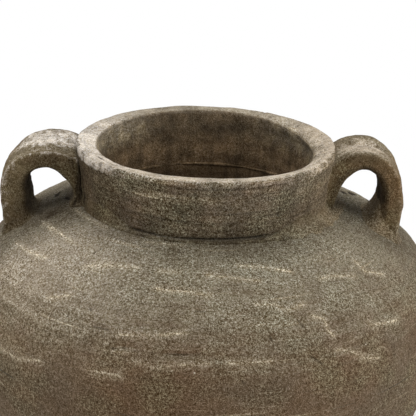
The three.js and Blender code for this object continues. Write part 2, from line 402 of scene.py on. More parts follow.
def formed(name, mesh, tree, marks, clay, **sizes):
    """Runs a mesh through a tree and keeps the result as a plain mesh at the origin."""
    piece = placed(name, mesh)
    modifier = piece.modifiers.new(tree.name, "NODES")
    modifier.node_group = tree
    wanted = {size.replace("_", " ").capitalize(): value for size, value in sizes.items()}
    wanted.update(marks, Clay=clay)
    for socket in tree.interface.items_tree:
        if socket.in_out == "INPUT" and socket.name in wanted:
            modifier[socket.identifier] = wanted.pop(socket.name)
    if wanted:
        raise ValueError(f"{tree.name} has no input named {sorted(wanted)}")
    graph = bpy.context.evaluated_depsgraph_get()
    result = bpy.data.meshes.new_from_object(piece.evaluated_get(graph), depsgraph=graph)
    piece.modifiers.remove(modifier)
    piece.data = result
    bpy.data.meshes.remove(mesh)
    result.name = name
    result.set_sharp_from_angle(angle=SHARP_EDGE)
    return piece


def outline_mesh(outline, closed=True):
    """The outline as a string of edges in the sweep's own plane, with its notes for the clay's colour."""
    order = outline[::-1]
    mesh = bpy.data.meshes.new("outline")
    edges = [(step, step + 1) for step in range(len(order) - 1)]
    if closed:
        edges.append((len(order) - 1, 0))
    mesh.from_pydata([(radius - WHEEL_AXIS, -height, 0.0) for radius, height, *_ in order], edges, [])
    for column, note in enumerate(NOTES, 2):
        attribute = mesh.attributes.new(note, "FLOAT", "POINT")
        attribute.data.foreach_set("value", [point[column] for point in order])
    return mesh


def keep(piece, node):
    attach(piece, "root")
    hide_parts(node)


# Colours and clay

def srgb(code):
    """An sRGB hex colour as linear light."""
    channels = [int(code[start:start + 2], 16) / 255 for start in (1, 3, 5)]
    linear = [c / 12.92 if c <= 0.04045 else ((c + 0.055) / 1.055) ** 2.4 for c in channels]
    return (*linear, 1.0)


def per(size_mm):
    """Texture scale for a pattern of this size."""
    return 1 / (size_mm * MM)


OLIVE = "#5e5c46"
LICHEN = "#7d7654"
RUST = "#6f5540"
WORN_PALE = "#ddd3c5"
WORN_TAN = "#dccdb9"
# Painted light from the left: lit clay facing sideways and facing up, and lit sand
LEFT_LIT_SIDE = "#bda586"
LEFT_LIT_TOP = "#b5aa98"
LEFT_LIT_SAND = "#e8d8ba"
MOUTH_TAN = "#a99b83"
INSIDE_BROWN = "#8e7557"
INSIDE_DARK = "#5f513e"
INSIDE_OLIVE = "#7a6c4c"
# Dirt, also used for painted shade at seams and creases, in gouges, under the left loop and deep in the
# throat
DIRT_AND_SHADE = "#3a3022"
# Dirt with painted shade beside the left handle, and painted light beside the right one
SOIL_AND_SHADE = "#453621"
RIGHT_FLANK_LIGHT = "#84735a"
WHITE_GRAIN = "#cfc7b4"

# Patterns in the clay, by their size in mm. The grit is half a millimetre and less, and is drawn a little
# coarser so that it shows.
PATTERNS = {
    "patch": (80, {"Detail": 3.0, "Distortion": 0.6}),
    "stain": (38, {"Detail": 3.0}),
    "mottle": (13, {"Detail": 4.0, "Roughness": 0.6}),
    "rub": (5, {"Detail": 3.0, "Roughness": 0.55}),
    "grains": (1.8, {"Detail": 2.0, "Roughness": 0.65}),
    "fine grit": (0.72, {"Detail": 0.0}),
}

# Patterns that are drawn out: along the wheel's turn, or down the wall; mm across, mm up, and detail
TURNED_PATTERNS = {"lines": (60, 1.8, 2.0), "fields": (60, 12, 1.0)}
HANGING_PATTERNS = {"runs": (7, 60, 2.0)}

SPECK_SPACING_MM = 13
SPECK_SHARE = 0.7 / SPECK_SPACING_MM

# How far the finishes reach
STROKE_FRAY = 3.4 * MM
STROKE_CORE = (3 * MM, 1.8 * MM)
STROKE_HALO = (6 * MM, 2 * MM)
# Painted light from the left starts this high over the belly
LEFT_LIT_OVER = BELLY_HEIGHT + 25 * MM
MOUTH_BROWN = RIM_HEIGHT - 34 * MM
MOUTH_DARK = RIM_HEIGHT - 12 * MM
THROAT = (NECK_SEAM + 3 * MM, NECK_SEAM - 9 * MM)
LEFT_EDGE_FOOT = RIM_HEIGHT - 24 * MM
RIGHT_EDGE_FOOT = RIM_HEIGHT - 23 * MM
EDGE_TOP = RIM_HEIGHT - 3 * MM
# Dirt and painted shade round the seams: how far it reaches, how near it is darkest, and in the crease
SEAM_SHADE_REACH = 36 * MM
CLOSE_SEAM_SHADE = 10 * MM
CREASE_DIRT_AND_SHADE = (1.9 * MM, 0.4 * MM)
SCRATCH_DIRT = (1.1 * MM, 0.4 * MM)
GOUGE_SHADOW = (GOUGE_WIDTH, 0.3 * GOUGE_WIDTH)
GRIT_MIDDLE = 0.5
GRIT_SWING = 0.14

# How the levels of the finishes are found, one after the other. A ramp reads a pattern, a place, a note or
# an earlier level, and runs from one reading to another, with its level at each (0 and 1 where none is
# given); an ease is a ramp with a gentle start and end. The other words say what is done with the levels.
FINISHES = [
    # Base tone: brown where the clay is bare, greyer in broad patches, with olive and rusty stains
    ("greyed", "ramp", "patch", 0.36, 0.64),
    ("olive stain", "ramp", "stain y", 0.5, 0.68, 0, "olive"),
    ("rusty stain", "ramp", "stain z", 0.52, 0.7, 0, 0.32),

    # In the olive stains the pale grains are overgrown too
    ("sprouting", "ramp", "grit", 0.5, 0.6),
    ("damp ground", "ramp", "stain y", 0.44, 0.58, 0, 1.3),
    ("lichen", "MULTIPLY", "sprouting", "damp ground", "olive"),

    # Dust settles on what faces up, and hardly inside
    ("upward", "ease", "facing up", 0.2, 1, 0, 0.8),
    ("thin", "ramp", "mottle", 0.3, 0.7, 0.68, 1.08),
    ("swept", "ramp", "inside", 0, 1, 1, 0.15),
    ("dusty", "MULTIPLY", "upward", "swept"),
    ("dusted", "MULTIPLY", "dusty", "thin"),

    # Painted light from the left: the left front of the body is paler, most where it faces up
    ("left side light", "ramp", "x", -0.15 * BELLY_RADIUS, -0.8 * BELLY_RADIUS, 0, "left_light"),
    ("lit facing", "MAXIMUM", "upward", 0.2),
    ("ahead", "ramp", "y", -0.42 * BELLY_RADIUS, -0.23 * BELLY_RADIUS, 1, 0.12),
    ("raised", "ramp", "z", BELLY_HEIGHT, LEFT_LIT_OVER, 0.3, 1),
    ("left lit", "MULTIPLY", "left side light", "raised"),
    ("painted left light", "MULTIPLY", "left lit", "lit facing", "ahead"),

    # Pale sand dragged along by the wheel, in broken lines, with dirt in the grooves between them
    ("sand line", "ease", "lines", 0.56, 0.7),
    ("sand field", "ease", "fields", 0.54, 0.7, 0, "sandy"),
    ("dragged", "MULTIPLY", "sand line", "sand field"),
    ("groove", "ease", "lines", 0.42, 0.3, 0, 0.32),
    ("groove field", "ease", "fields", 0.5, 0.4, 0, "sandy"),
    ("groove dirt", "MULTIPLY", "groove", "groove field"),

    # Longer single strokes of the same sand, torn by the grit
    ("frayed", "MULTIPLY_ADD", "mottle", STROKE_FRAY, "drag"),
    ("core", "ramp", "frayed", *STROKE_CORE, 0, 0.85),
    ("halo", "ramp", "frayed", *STROKE_HALO, 0, 0.28),
    ("whole stroke", "MAXIMUM", "core", "halo"),
    ("faint", "ramp", "stain x", 0.38, 0.6, 0.6, 1),
    ("torn", "ramp", "grit", 0.36, 0.52, 0.4, 1),
    ("stroke", "MULTIPLY", "whole stroke", "faint", "torn"),
    ("sanded", "MAXIMUM", "dragged", "stroke"),

    # The neck is browner with dirt and painted shade beside the left handle, and tan with painted light
    # beside the right
    ("far left", "ramp", "x", -0.62 * RIM_RADIUS, -0.92 * RIM_RADIUS, 0, 0.6),
    ("left flank", "MULTIPLY", "far left", "flanks"),
    ("far right", "ramp", "x", 0.66 * RIM_RADIUS, 0.95 * RIM_RADIUS, 0, 0.6),
    ("right flank", "MULTIPLY", "far right", "flanks"),

    # Wear shows the pale body of the clay, most of all on the left; on the straps' top edges it also lays a
    # painted highlight
    ("left lip", "ramp", "x", -RIM_RADIUS, -0.5 * RIM_RADIUS, 1, 0.46),
    ("front lip", "ramp", "y", -RIM_RADIUS, -0.7 * RIM_RADIUS, 0.72, 1),
    ("back lip", "ramp", "y", 0.15 * RIM_RADIUS, 0.9 * RIM_RADIUS, 1, 0.22),
    ("missed", "ramp", "rub", 0.34, 0.6, -0.85, 0),
    ("spared", "ramp", "mottle", 0.4, 0.55, -0.28, 0),
    ("wear", "MULTIPLY_ADD", "wear_and_highlight", 1.7, "missed"),
    ("wear left", "ADD", "wear", "spared"),
    ("bared", "ramp", "wear left", 0, 1),
    ("worn away", "MULTIPLY", "bared", "left lip", "front lip", "back lip"),
    ("tan side", "ramp", "left lip", 1, 0.46),

    # The inside stays dark under the lip and is browner further down, with olive blooms at the sides and
    # runs; under the neck's seam painted shade makes it darker still
    ("sideways", "ABSOLUTE", "x"),
    ("at the sides", "ease", "sideways", 0.3 * RIM_RADIUS, 0.85 * RIM_RADIUS),
    ("high", "ease", "z", MOUTH_BROWN, MOUTH_DARK),
    ("damp", "MULTIPLY", "inside", 0.85),
    ("bloom spots", "ramp", "mottle", 0.46, 0.6, 0, 0.9),
    ("bloom", "MULTIPLY", "bloom spots", "high", "at the sides", "damp"),
    ("run", "ramp", "runs", 0.5, 0.66, 0, 0.4),
    ("run dirt", "MULTIPLY", "run", "inside"),
    ("deep", "ramp", "z", *THROAT, 0, 0.55),
    ("throat shade", "MULTIPLY", "deep", "inside"),

    # Just inside the lip the wall is rubbed at the sides, and hardly at the back
    ("edge foot", "ramp", "x", -MOUTH, MOUTH, LEFT_EDGE_FOOT, RIGHT_EDGE_FOOT),
    ("edge", "ramp", "z", "edge foot", EDGE_TOP),
    ("rubbed edge", "MULTIPLY", "edge", "at the sides", 0.9, "inside"),

    # Dirt and painted shade along the seams, darkest in the crease itself; dirt in scratches; painted shadow
    # in gouges
    ("wide dirt and shade", "ramp", "seam", SEAM_SHADE_REACH, 0, 0, 0.6),
    ("close dirt and shade", "ramp", "seam", CLOSE_SEAM_SHADE, 0, 0, 0.7),
    ("near dirt and shade", "MAXIMUM", "wide dirt and shade", "close dirt and shade"),
    ("spread", "ramp", "stain x", 0.35, 0.6, 0.5, 1),
    ("seam dirt and shade", "MULTIPLY", "near dirt and shade", "spread"),
    # Grime with painted shade: the neck under the lip, under the left loop, the loops' inner faces, the front
    # roll
    ("uneven cover", "ramp", "mottle", 0.4, 0.65, 0.9, 0.6),
    ("patchy grime and shade", "MULTIPLY", "grime_and_shade", "uneven cover"),
    ("lying dirt and shade", "MAXIMUM", "seam dirt and shade", "patchy grime and shade"),
    ("over sand", "ramp", "stroke", 0, 1, 1, 0.3),
    ("thinned dirt and shade", "MULTIPLY", "lying dirt and shade", "over sand"),
    ("crease", "ramp", "seam", *CREASE_DIRT_AND_SHADE, 0, 0.85),
    ("score", "ramp", "scratch", *SCRATCH_DIRT, 0, 0.65),
    # painted shadow in the gouges and in the crease before the left strap
    ("gouge shadow", "ramp", "gouge", *GOUGE_SHADOW, 0, 0.97),
    ("dirt", "MAXIMUM", "thinned dirt and shade", "crease", "score", "gouge shadow"),

    # Grit changes how bright the clay is; it shows most under dust, and least inside and on worn edges
    ("grain", "MULTIPLY_ADD", "grit", 1 / GRIT_SWING, -GRIT_MIDDLE / GRIT_SWING),
    ("worn grit", "ramp", "bared", 0, 1, "contrast", 0.17),
    ("dusty grit", "ramp", "dusty", 0, 1, 1, 1.2),
    ("inner grit", "ramp", "inside", 0, 1, 1, 0.58),
    ("patchy grit", "ramp", "stain y", 0.4, 0.6, 0.85, 1.15),
    ("grit step", "MULTIPLY", "grain", "worn grit", "dusty grit", "inner grit", "patchy grit"),

    # So do mottling, pits, the painted shadow in gouges, and the streaks that the wheel leaves
    ("mottling", "ramp", "mottle", 0.3, 0.7, -1, 1),
    ("blotchy", "ramp", "inside", 0, 1, 1, 1.6),
    ("blotch", "MULTIPLY", "mottling", "blotchy", "uneven"),
    ("mottle light", "ADD", "blotch", 1),
    ("pit light", "ramp", "pit", 0, 1, 1, 0.35),
    ("gouge shadow light", "ramp", "gouge shadow", 0, 1, 1, 0.5),
    ("streak", "ramp", "lines", 0.3, 0.7, -1, 1),
    ("rubbed off", "MAXIMUM", "bared", "inside"),
    ("left on", "SUBTRACT", 1, "rubbed off"),
    ("streaks", "MULTIPLY", "streak", "left on", "streaky"),
    ("streak light", "ADD", "streaks", 1),
    ("light", "MULTIPLY", "mottle light", "pit light", "gouge shadow light", "streak light"),

    # A few single white grains
    ("white spot", "ramp", "speck", SPECK_SHARE, 0.5 * SPECK_SHARE, 0, 0.8),
    ("chosen", "GREATER_THAN", "speck kind", 0.6),
    ("white grain", "MULTIPLY", "white spot", "chosen"),

    # Relief of the grit, and how dry it looks
    ("relief", "ramp", "bared", 0, 1, 0.9, 0.35),
    ("dry", "ramp", "grit", 0.3, 0.7, 0.98, 0.86),
]

# Tones that go from one colour to another with a level
BLENDS = {
    # Painted light from the left: lit clay by how it faces up, and lit dragged sand
    "left lit clay": ("upward", LEFT_LIT_SIDE, LEFT_LIT_TOP),
    "dragged sand": ("left lit", "sand", LEFT_LIT_SAND),
    "bared clay": ("tan side", WORN_PALE, WORN_TAN),
    "damp clay": ("high", INSIDE_BROWN, INSIDE_DARK),
}

# What lies over the brown clay, from the lowest to the topmost: its level and its colour
LAYERS = [
    ("greyed", "grey"),
    ("olive stain", OLIVE),
    ("rusty stain", RUST),
    ("lichen", LICHEN),
    ("dusted", "dust"),
    # painted light from the left
    ("painted left light", "left lit clay"),
    ("groove dirt", DIRT_AND_SHADE),
    ("sanded", "dragged sand"),
    # dirt and painted shade beside the left handle, painted light beside the right
    ("left flank", SOIL_AND_SHADE),
    ("right flank", RIGHT_FLANK_LIGHT),
    ("worn away", "bared clay"),
    ("damp", "damp clay"),
    ("bloom", INSIDE_OLIVE),
    ("run dirt", DIRT_AND_SHADE),
    # painted shade deep in the body
    ("throat shade", DIRT_AND_SHADE),
    ("rubbed edge", MOUTH_TAN),
    # dirt and painted shade: seams, creases, scratches and gouges
    ("dirt", DIRT_AND_SHADE),
]

# How much of the grit's light and dark each channel takes: pale grains are greyer than the clay, dark ones
# browner. No grain is darker than the least light; light that looks evenly stepped goes up with the power.
GRAIN_SHARES = (0.85, 0.98, 1.26)
LEAST_LIGHT = 0.2
EYE_POWER = 2.2
RELIEF_DEPTH = 0.8 * MM
CLAY_IOR = 1.5
CLAY_SPECULAR = 0.1


def clay_patterns(tree):
    """What the clay's finishes read: places, patterns, and the notes and distances on the mesh."""
    place = add(tree, "ShaderNodeTexCoord").outputs["Object"]
    facing = add(tree, "ShaderNodeNewGeometry").outputs["Normal"]
    read = {"facing up": add(tree, "ShaderNodeSeparateXYZ", {0: facing}).outputs["Z"]}
    for name, (size, settings) in PATTERNS.items():
        read[name] = add(tree, "ShaderNodeTexNoise", {"Vector": place, "Scale": per(size), **settings})
    for start, patterns in ((climb_of(tree, place), TURNED_PATTERNS), (place, HANGING_PATTERNS)):
        for name, (across, up, detail) in patterns.items():
            drawn = add(tree, "ShaderNodeMapping",
                        {"Vector": start, "Scale": (per(across), per(across), per(up))})
            read[name] = add(tree, "ShaderNodeTexNoise", {"Vector": drawn, "Scale": 1.0, "Detail": detail})
    for word, whole in (("", place), ("stain ", read["stain"].outputs["Color"])):
        parts = add(tree, "ShaderNodeSeparateXYZ", {0: whole}).outputs
        read.update({word + axis.lower(): parts[axis] for axis in "XYZ"})
    large = add(tree, "ShaderNodeSeparateXYZ", {0: read["grains"].outputs["Color"]}).outputs["X"]
    read["grit"] = add(tree, "ShaderNodeMix", {"Factor": 0.5, "A": read["fine grit"], "B": large})
    specks = add(tree, "ShaderNodeTexVoronoi", {"Vector": place, "Scale": per(SPECK_SPACING_MM)})
    read["speck"] = specks.outputs["Distance"]
    read["speck kind"] = add(tree, "ShaderNodeSeparateXYZ", {0: specks.outputs["Color"]}).outputs["X"]
    for note in (*NOTES, *GUIDES.values(), "pit"):
        read[note] = add(tree, "ShaderNodeAttribute", attribute_name=note).outputs["Fac"]
    return read


def sandy_earthenware(name, **look):
    """Unglazed, sandy earthenware fired dull: dry and matt, with fine grit that shows as light and dark
    grains, pale sand dragged round by the wheel, dust on what faces up, painted light on the left front,
    dirt in pits, dirt and painted shade along the seams, painted shade under the lip and deep in the throat,
    painted shadow in gouges, in the left crease and under the left loop, and pale worn edges, with a painted
    highlight on the straps' top edges."""
    material = bpy.data.materials.new(name)
    tree = empty_tree(material)
    read = clay_patterns(tree)
    read.update(look)
    for level, way, *parts in FINISHES:
        parts = [read.get(part, part) for part in parts]
        if way in ("ramp", "ease"):
            value, start, end, low, high = (*parts, 0.0, 1.0)[:5]
            read[level] = add(tree, "ShaderNodeMapRange",
                              {"Value": value, "From Min": start, "From Max": end,
                               "To Min": low, "To Max": high},
                              interpolation_type="SMOOTHSTEP" if way == "ease" else "LINEAR")
            continue
        count = 3 if way == "MULTIPLY_ADD" else 2
        read[level] = add(tree, "ShaderNodeMath", dict(enumerate(parts[:count])), operation=way)
        for part in parts[count:]:
            read[level] = add(tree, "ShaderNodeMath", {0: read[level], 1: part}, operation=way)

    for blend, (level, *colours) in BLENDS.items():
        first, second = (srgb(read.get(colour, colour)) for colour in colours)
        read[blend] = add(tree, "ShaderNodeMix", {"Factor": read[level], "A": first, "B": second},
                          data_type="RGBA")
    tone = srgb(look["brown"])
    for level, colour in LAYERS:
        colour = read.get(colour, colour)
        shade = srgb(colour) if isinstance(colour, str) else colour
        tone = add(tree, "ShaderNodeMix", {"Factor": read[level], "A": tone, "B": shade}, data_type="RGBA")

    grit_light = add(tree, "ShaderNodeCombineXYZ")
    for channel, share in enumerate(GRAIN_SHARES):
        step = add(tree, "ShaderNodeMath", {0: read["grit step"], 1: share, 2: 1.0},
                   operation="MULTIPLY_ADD")
        kept = add(tree, "ShaderNodeMath", {0: step, 1: LEAST_LIGHT}, operation="MAXIMUM")
        light = add(tree, "ShaderNodeMath", {0: kept, 1: EYE_POWER}, operation="POWER")
        tree.links.new(light.outputs[0], grit_light.inputs[channel])
    tone = add(tree, "ShaderNodeVectorMath", {0: tone, 1: grit_light}, operation="MULTIPLY")
    tone = add(tree, "ShaderNodeVectorMath", {0: tone, "Scale": read["light"]}, operation="SCALE")
    tone = add(tree, "ShaderNodeMix", {"Factor": read["white grain"], "A": tone, "B": srgb(WHITE_GRAIN)},
               data_type="RGBA")

    bump = add(tree, "ShaderNodeBump",
               {"Height": read["grit"], "Strength": read["relief"], "Distance": RELIEF_DEPTH})
    shader = add(tree, "ShaderNodeBsdfPrincipled",
                 {"Base Color": tone, "Roughness": read["dry"], "IOR": CLAY_IOR,
                  "Specular IOR Level": CLAY_SPECULAR, "Normal": bump})
    add(tree, "ShaderNodeOutputMaterial", {"Surface": shader})
    return material


# Thrown pieces

LIP_BEVEL = 1.5 * MM
LIP_BEVEL_DROP = 3.8 * MM
INNER_LIP_EDGE = 2 * MM
NECK_STEPS = 60

# Parts of the neck's steps from its foot to the lip, and how much painted shade they get, more under the lip
NECK_SHADE = {(0, 25): 0.0, (24, 34): 0.1, (33, 43): 0.2, (42, 61): 0.3}

# How the bevel under the lip is drawn at its foot and its top, and the steps where bevel and edge get paler
BEVEL_FOOT = (0.5 * MM, 1 * MM)
BEVEL_TOP = (0.9 * MM, -0.6 * MM)
BEVEL_PALE = 45
EDGE_PALE = 8


def shoulder_outline():
    ceiling = NECK_SEAM - THROAT_DEPTH
    inside = shoulder_line(BODY_WALL, ceiling)
    return joined(
        stretch(shoulder_line(0, NECK_SEAM), FINE),
        stretch([(NECK_FOOT, NECK_SEAM), (MOUTH, NECK_SEAM)], COARSE),
        stretch([(MOUTH, NECK_SEAM), (MOUTH, ceiling)], FINE, inside=1),
        stretch([(MOUTH, ceiling), inside[-1]], COARSE, inside=1),
        stretch(inside[::-1], COARSE, inside=1),
        stretch([(BELLY_RADIUS - BODY_WALL, BELLY_HEIGHT), (BELLY_RADIUS, BELLY_HEIGHT)], COARSE),
    )


def lower_outline():
    outside, inside = (lower_line(inset, BASE_THICKNESS, BELLY_HEIGHT) for inset in (0, BODY_WALL))
    return joined(
        stretch(outside, FINE),
        stretch([(BELLY_RADIUS, BELLY_HEIGHT), (BELLY_RADIUS - BODY_WALL, BELLY_HEIGHT)], COARSE),
        stretch(inside[::-1], COARSE, inside=1),
        stretch([inside[0], outside[0]], COARSE),
    )


def base_outline():
    edge = lower_line(0, 0, BASE_THICKNESS)
    return joined(
        stretch([(0, 0), edge[0]], COARSE),
        stretch(edge, FINE),
        stretch([edge[-1], (0, BASE_THICKNESS)], COARSE, inside=1),
    )


def neck_wall(inset, to_height):
    heights = [between(NECK_SEAM, to_height, step / NECK_STEPS) for step in range(NECK_STEPS + 1)]
    return [(neck_radius(height) - inset, height) for height in heights]


def neck_outline():
    outside = neck_wall(0, RIM_HEIGHT - LIP_BEVEL_DROP)
    bore = neck_wall(NECK_WALL, RIM_HEIGHT - INNER_LIP_EDGE)[::-1]
    under = outside[-1]
    lip = (RIM_RADIUS - LIP_BEVEL, RIM_HEIGHT)
    pulls = [tuple(map(sum, zip(*pair))) for pair in ((under, BEVEL_FOOT), (lip, BEVEL_TOP))]
    bevel = eased(under, *pulls, lip)
    inner_edge = rounded((RIM_RADIUS - NECK_WALL + INNER_LIP_EDGE, RIM_HEIGHT), bore[0])
    return joined(
        *(stretch(outside[slice(*part)], FINE, grime_and_shade=level) for part, level in NECK_SHADE.items()),
        stretch(bevel[:BEVEL_PALE + 1], FINE / 3, wear_and_highlight=0.3),
        stretch(bevel[BEVEL_PALE:], FINE / 4, wear_and_highlight=0.5),
        stretch([lip, inner_edge[0]], FINE / 3, wear_and_highlight=1),
        stretch(inner_edge[:EDGE_PALE + 1], FINE / 3, wear_and_highlight=0.8),
        stretch(inner_edge[EDGE_PALE:], FINE / 3, wear_and_highlight=0.72, inside=0.4),
        stretch(bore, FINE, inside=1),
        stretch([(MOUTH, NECK_SEAM), (NECK_FOOT, NECK_SEAM)], COARSE),
    )


BEAD_STEPS = 36


def bead_outline(centre, size):
    """A round coil that is pressed into its corner."""
    turns = [2 * math.pi * step / BEAD_STEPS for step in range(BEAD_STEPS + 1)]
    circle = [(centre[0] + size * math.cos(turn), centre[1] + size * math.sin(turn)) for turn in turns]
    return stretch(circle, size / 4, inside=1)[:-1]


def drawn_out(piece, wall, fade):
    """The neck and its foot follow the pull of the handles; the pull fades over a width of clay."""
    for vertex in piece.data.vertices:
        place = vertex.co
        radius = math.hypot(place.x, place.y)
        share = clamped(1 - (wall(place.z) - radius) / fade)
        grow = 1 + share * neck_pull(place.x, place.y) / radius
        place.x *= grow
        place.y *= grow
    return piece


# Wear of the lip on each side: how far its inner edge is rubbed down and swells inwards, how much the wear
# fades towards the inside, and how broad the outer edge is worn
LEFT_LIP = {"rub": 3 * MM, "swell": 1.5 * MM, "fade": 0.0, "broad": 1.0}
RIGHT_LIP = {"rub": 9 * MM, "swell": 7.5 * MM, "fade": 0.75, "broad": 0.45}
LIP_SIDE_POWER = 2.2
LIP_RUB_POWER = 1.5
LIP_RUB_HEIGHT = 12 * MM
LEVEL_LIP = 4 * MM

# The outer edge is worn broad left and right of the front: degrees, then how far down and how deep
BROAD_WEAR_AT = 62
BROAD_WEAR_SPAN = 24
BROAD_WEAR = 7 * MM
BROAD_WEAR_DEPTH = 2 * MM
BROAD_WEAR_GAIN = 3.5
OUTER_LIP = 5 * MM


def rubbed_lip(piece):
    """The inner edge of the lip swells inwards and is rubbed down to a slope, less at the left than at the
    right, and its outer edge is worn broad left and right of the front."""
    wear_and_highlight = piece.data.attributes["wear_and_highlight"].data
    for vertex in piece.data.vertices:
        place = vertex.co
        lip = RIGHT_LIP if place.x > 0 else LEFT_LIP
        note = wear_and_highlight[vertex.index]
        turn = abs(math.degrees(math.atan2(place.x, -place.y)))
        broad = lip["broad"] * math.exp(-((turn - BROAD_WEAR_AT) / BROAD_WEAR_SPAN) ** 2)
        low = 1 - (RIM_HEIGHT - place.z) / BROAD_WEAR
        if low > 0 and math.hypot(place.x, place.y) > RIM_RADIUS - OUTER_LIP:
            note.value = max(note.value, broad * min(1.0, BROAD_WEAR_GAIN * low))
            shrink = 1 - BROAD_WEAR_DEPTH / RIM_RADIUS * broad * low**2
            place.x *= shrink
            place.y *= shrink
        inner = clamped((RIM_RADIUS - LEVEL_LIP - math.hypot(place.x, place.y)) / (NECK_WALL - LEVEL_LIP))
        high = max(0.0, (place.z - RIM_HEIGHT) / LIP_RUB_HEIGHT + 1)
        side = abs(place.x / RIM_RADIUS) ** LIP_SIDE_POWER * high
        note.value *= 1 - lip["fade"] * side * inner
        shrink = 1 - lip["swell"] / RIM_RADIUS * side * inner
        place.x *= shrink
        place.y *= shrink
        place.z -= lip["rub"] * side * inner**LIP_RUB_POWER
    return piece


# Painted shadow under the left loop: how dark, its centre, and how far it reaches
LOOP_SHADOW = 1.1
LOOP_SHADOW_AT = (-116 * MM, -27 * MM)
LOOP_SHADOW_SPAN = 21 * MM


def soiled_ground(piece):
    """Painted shadow on the shoulder before the left handle, under the loop."""
    grime_and_shade = piece.data.attributes["grime_and_shade"].data
    for vertex in piece.data.vertices:
        away = math.dist(vertex.co.xy, LOOP_SHADOW_AT)
        grime_and_shade[vertex.index].value = LOOP_SHADOW * math.exp(-((away / LOOP_SHADOW_SPAN) ** 2))
    return piece


# The coil inside the mouth stands out of the wall as a thin ridge
MOUTH_RIDGE = 1.3 * MM
MOUTH_RIDGE_DROP = 0.6 * MM
MOUTH_RIDGE_SEAT = 0.8 * MM


def thrown_pieces(tree, marks, clays):
    body_clay = clays["body_clay"]
    shoulder = formed("thrown_shoulder", outline_mesh(shoulder_outline()), tree, marks, body_clay,
                      round_steps=640, ring_depth=0.35 * MM)
    keep(soiled_ground(shoulder), "shoulder")
    bowl = formed("thrown_bowl", outline_mesh(lower_outline()), tree, marks, body_clay, round_steps=480)
    keep(bowl, "lower_body")
    disc = formed("base_disc", outline_mesh(base_outline(), closed=False), tree, marks, body_clay,
                  round_steps=240, wobble=0.0)
    keep(disc, "base_slab")
    collar = formed("thrown_collar", outline_mesh(neck_outline()), tree, marks, clays["neck_clay"],
                    round_steps=512, wobble=0.6 * MM, wobble_span=55 * MM, lump=0.3 * MM, lump_span=15 * MM,
                    ring_depth=0.4 * MM, pit_spacing=6.5 * MM, pit_size=2.6 * MM, seam_cut=1.1 * MM)
    keep(drawn_out(rubbed_lip(collar), neck_radius, NECK_WALL), "neck_collar")
    base_corner = lower_line(BODY_WALL, BASE_THICKNESS, BELLY_HEIGHT)[0]
    mouth_seat = (MOUTH + MOUTH_RIDGE_SEAT, NECK_SEAM - MOUTH_RIDGE_DROP)
    coils = [
        ("mouth_coil", "neck_lining_coil", mouth_seat, MOUTH_RIDGE),
        ("belly_coil", "belly_seam_coil", (BELLY_RADIUS - BODY_WALL, BELLY_HEIGHT), BELLY_COIL),
        ("base_coil", "base_seam_coil", base_corner, BASE_COIL),
    ]
    for name, node, centre, size in coils:
        coil = formed(name, outline_mesh(bead_outline(centre, size)), tree, marks, clays["coil_clay"],
                      round_steps=320, wobble=0.8 * MM, wobble_span=24 * MM, ring_depth=0.1 * MM,
                      pit_depth=0.3 * MM)
        keep(coil, node)


# The coil at the neck's foot: a narrow roll at the front, smeared out by finger from there, wide at the
# right and pressed in at the left

SMEAR_ROUND = 640
SMEAR_CURVE = 16
SMEAR_FROM = math.radians(26)
SMEAR_TO = math.radians(56)
SMEAR_BACK = 3 * MM
SMEAR_UNDER = 5 * MM
SMEAR_PULL_FADE = -14 * MM

# In mm: how far it runs out at the front, how much further at the right, how far it is pressed in where it is
# smeared, and how far it then climbs the neck
SMEAR_OUT = 5.2
SMEAR_OUT_RIGHT = 11
SMEAR_IN = 2.7
SMEAR_CLIMB = 10

# In mm, first at the front and then where it is smeared: how far its upper edge and its toe stand out of the
# skin, and the corner that its curve is drawn towards, out from the neck and over the seam
TOP_STANDS = (0.5, -0.4)
TOE_STANDS = (0.5, -0.3)
CORNER_OUT = (3.4, 2.0)
CORNER_UP = (0.2, 1.0)
CORNER_MARGIN = 0.6
TOP_DROP = 0.1

# How much its edges waver, first at the front; the upper edge then smeared, the toe smeared at the right
TOP_WAVER = (1, 3)
TOE_WAVER = (0.7, 3.0)
RIGHT_SPAN = 0.8

# Its uneven edges, as (mm, waves round the neck, where they start)
TOP_WAVES = ((0.35, 7, 1), (0.25, 19, 2), (0.15, 41, 0))
TOE_WAVES = ((0.5, 5, 1), (0.4, 13, 2), (0.25, 37, 0))

# Where its upper edge dips: mm, degrees, and degrees to each side
TOP_DIP = 1.7
TOP_DIP_AT = 254
TOP_DIP_SPAN = 12


def waver(turn, waves):
    return sum(size * math.sin(count * turn + start) for size, count, start in waves)


def smear_share(turn):
    """0 at the front, where the coil was left as a narrow roll, and 1 where a finger smeared it out."""
    from_front = abs(math.remainder(turn + math.pi / 2, 2 * math.pi))
    return soft((from_front - SMEAR_FROM) / (SMEAR_TO - SMEAR_FROM))


def smear_top(turn):
    """The coil's upper edge on the neck, as (radius, height)."""
    share = smear_share(turn)
    dip = TOP_DIP * math.exp(-((math.degrees(turn) % 360 - TOP_DIP_AT) / TOP_DIP_SPAN) ** 2)
    uneven = waver(turn, TOP_WAVES) * between(*TOP_WAVER, share)
    height = NECK_SEAM + (SMEAR_CLIMB * share - TOP_DROP - dip + uneven) * MM
    return neck_radius(height) + between(*TOP_STANDS, share) * MM, height


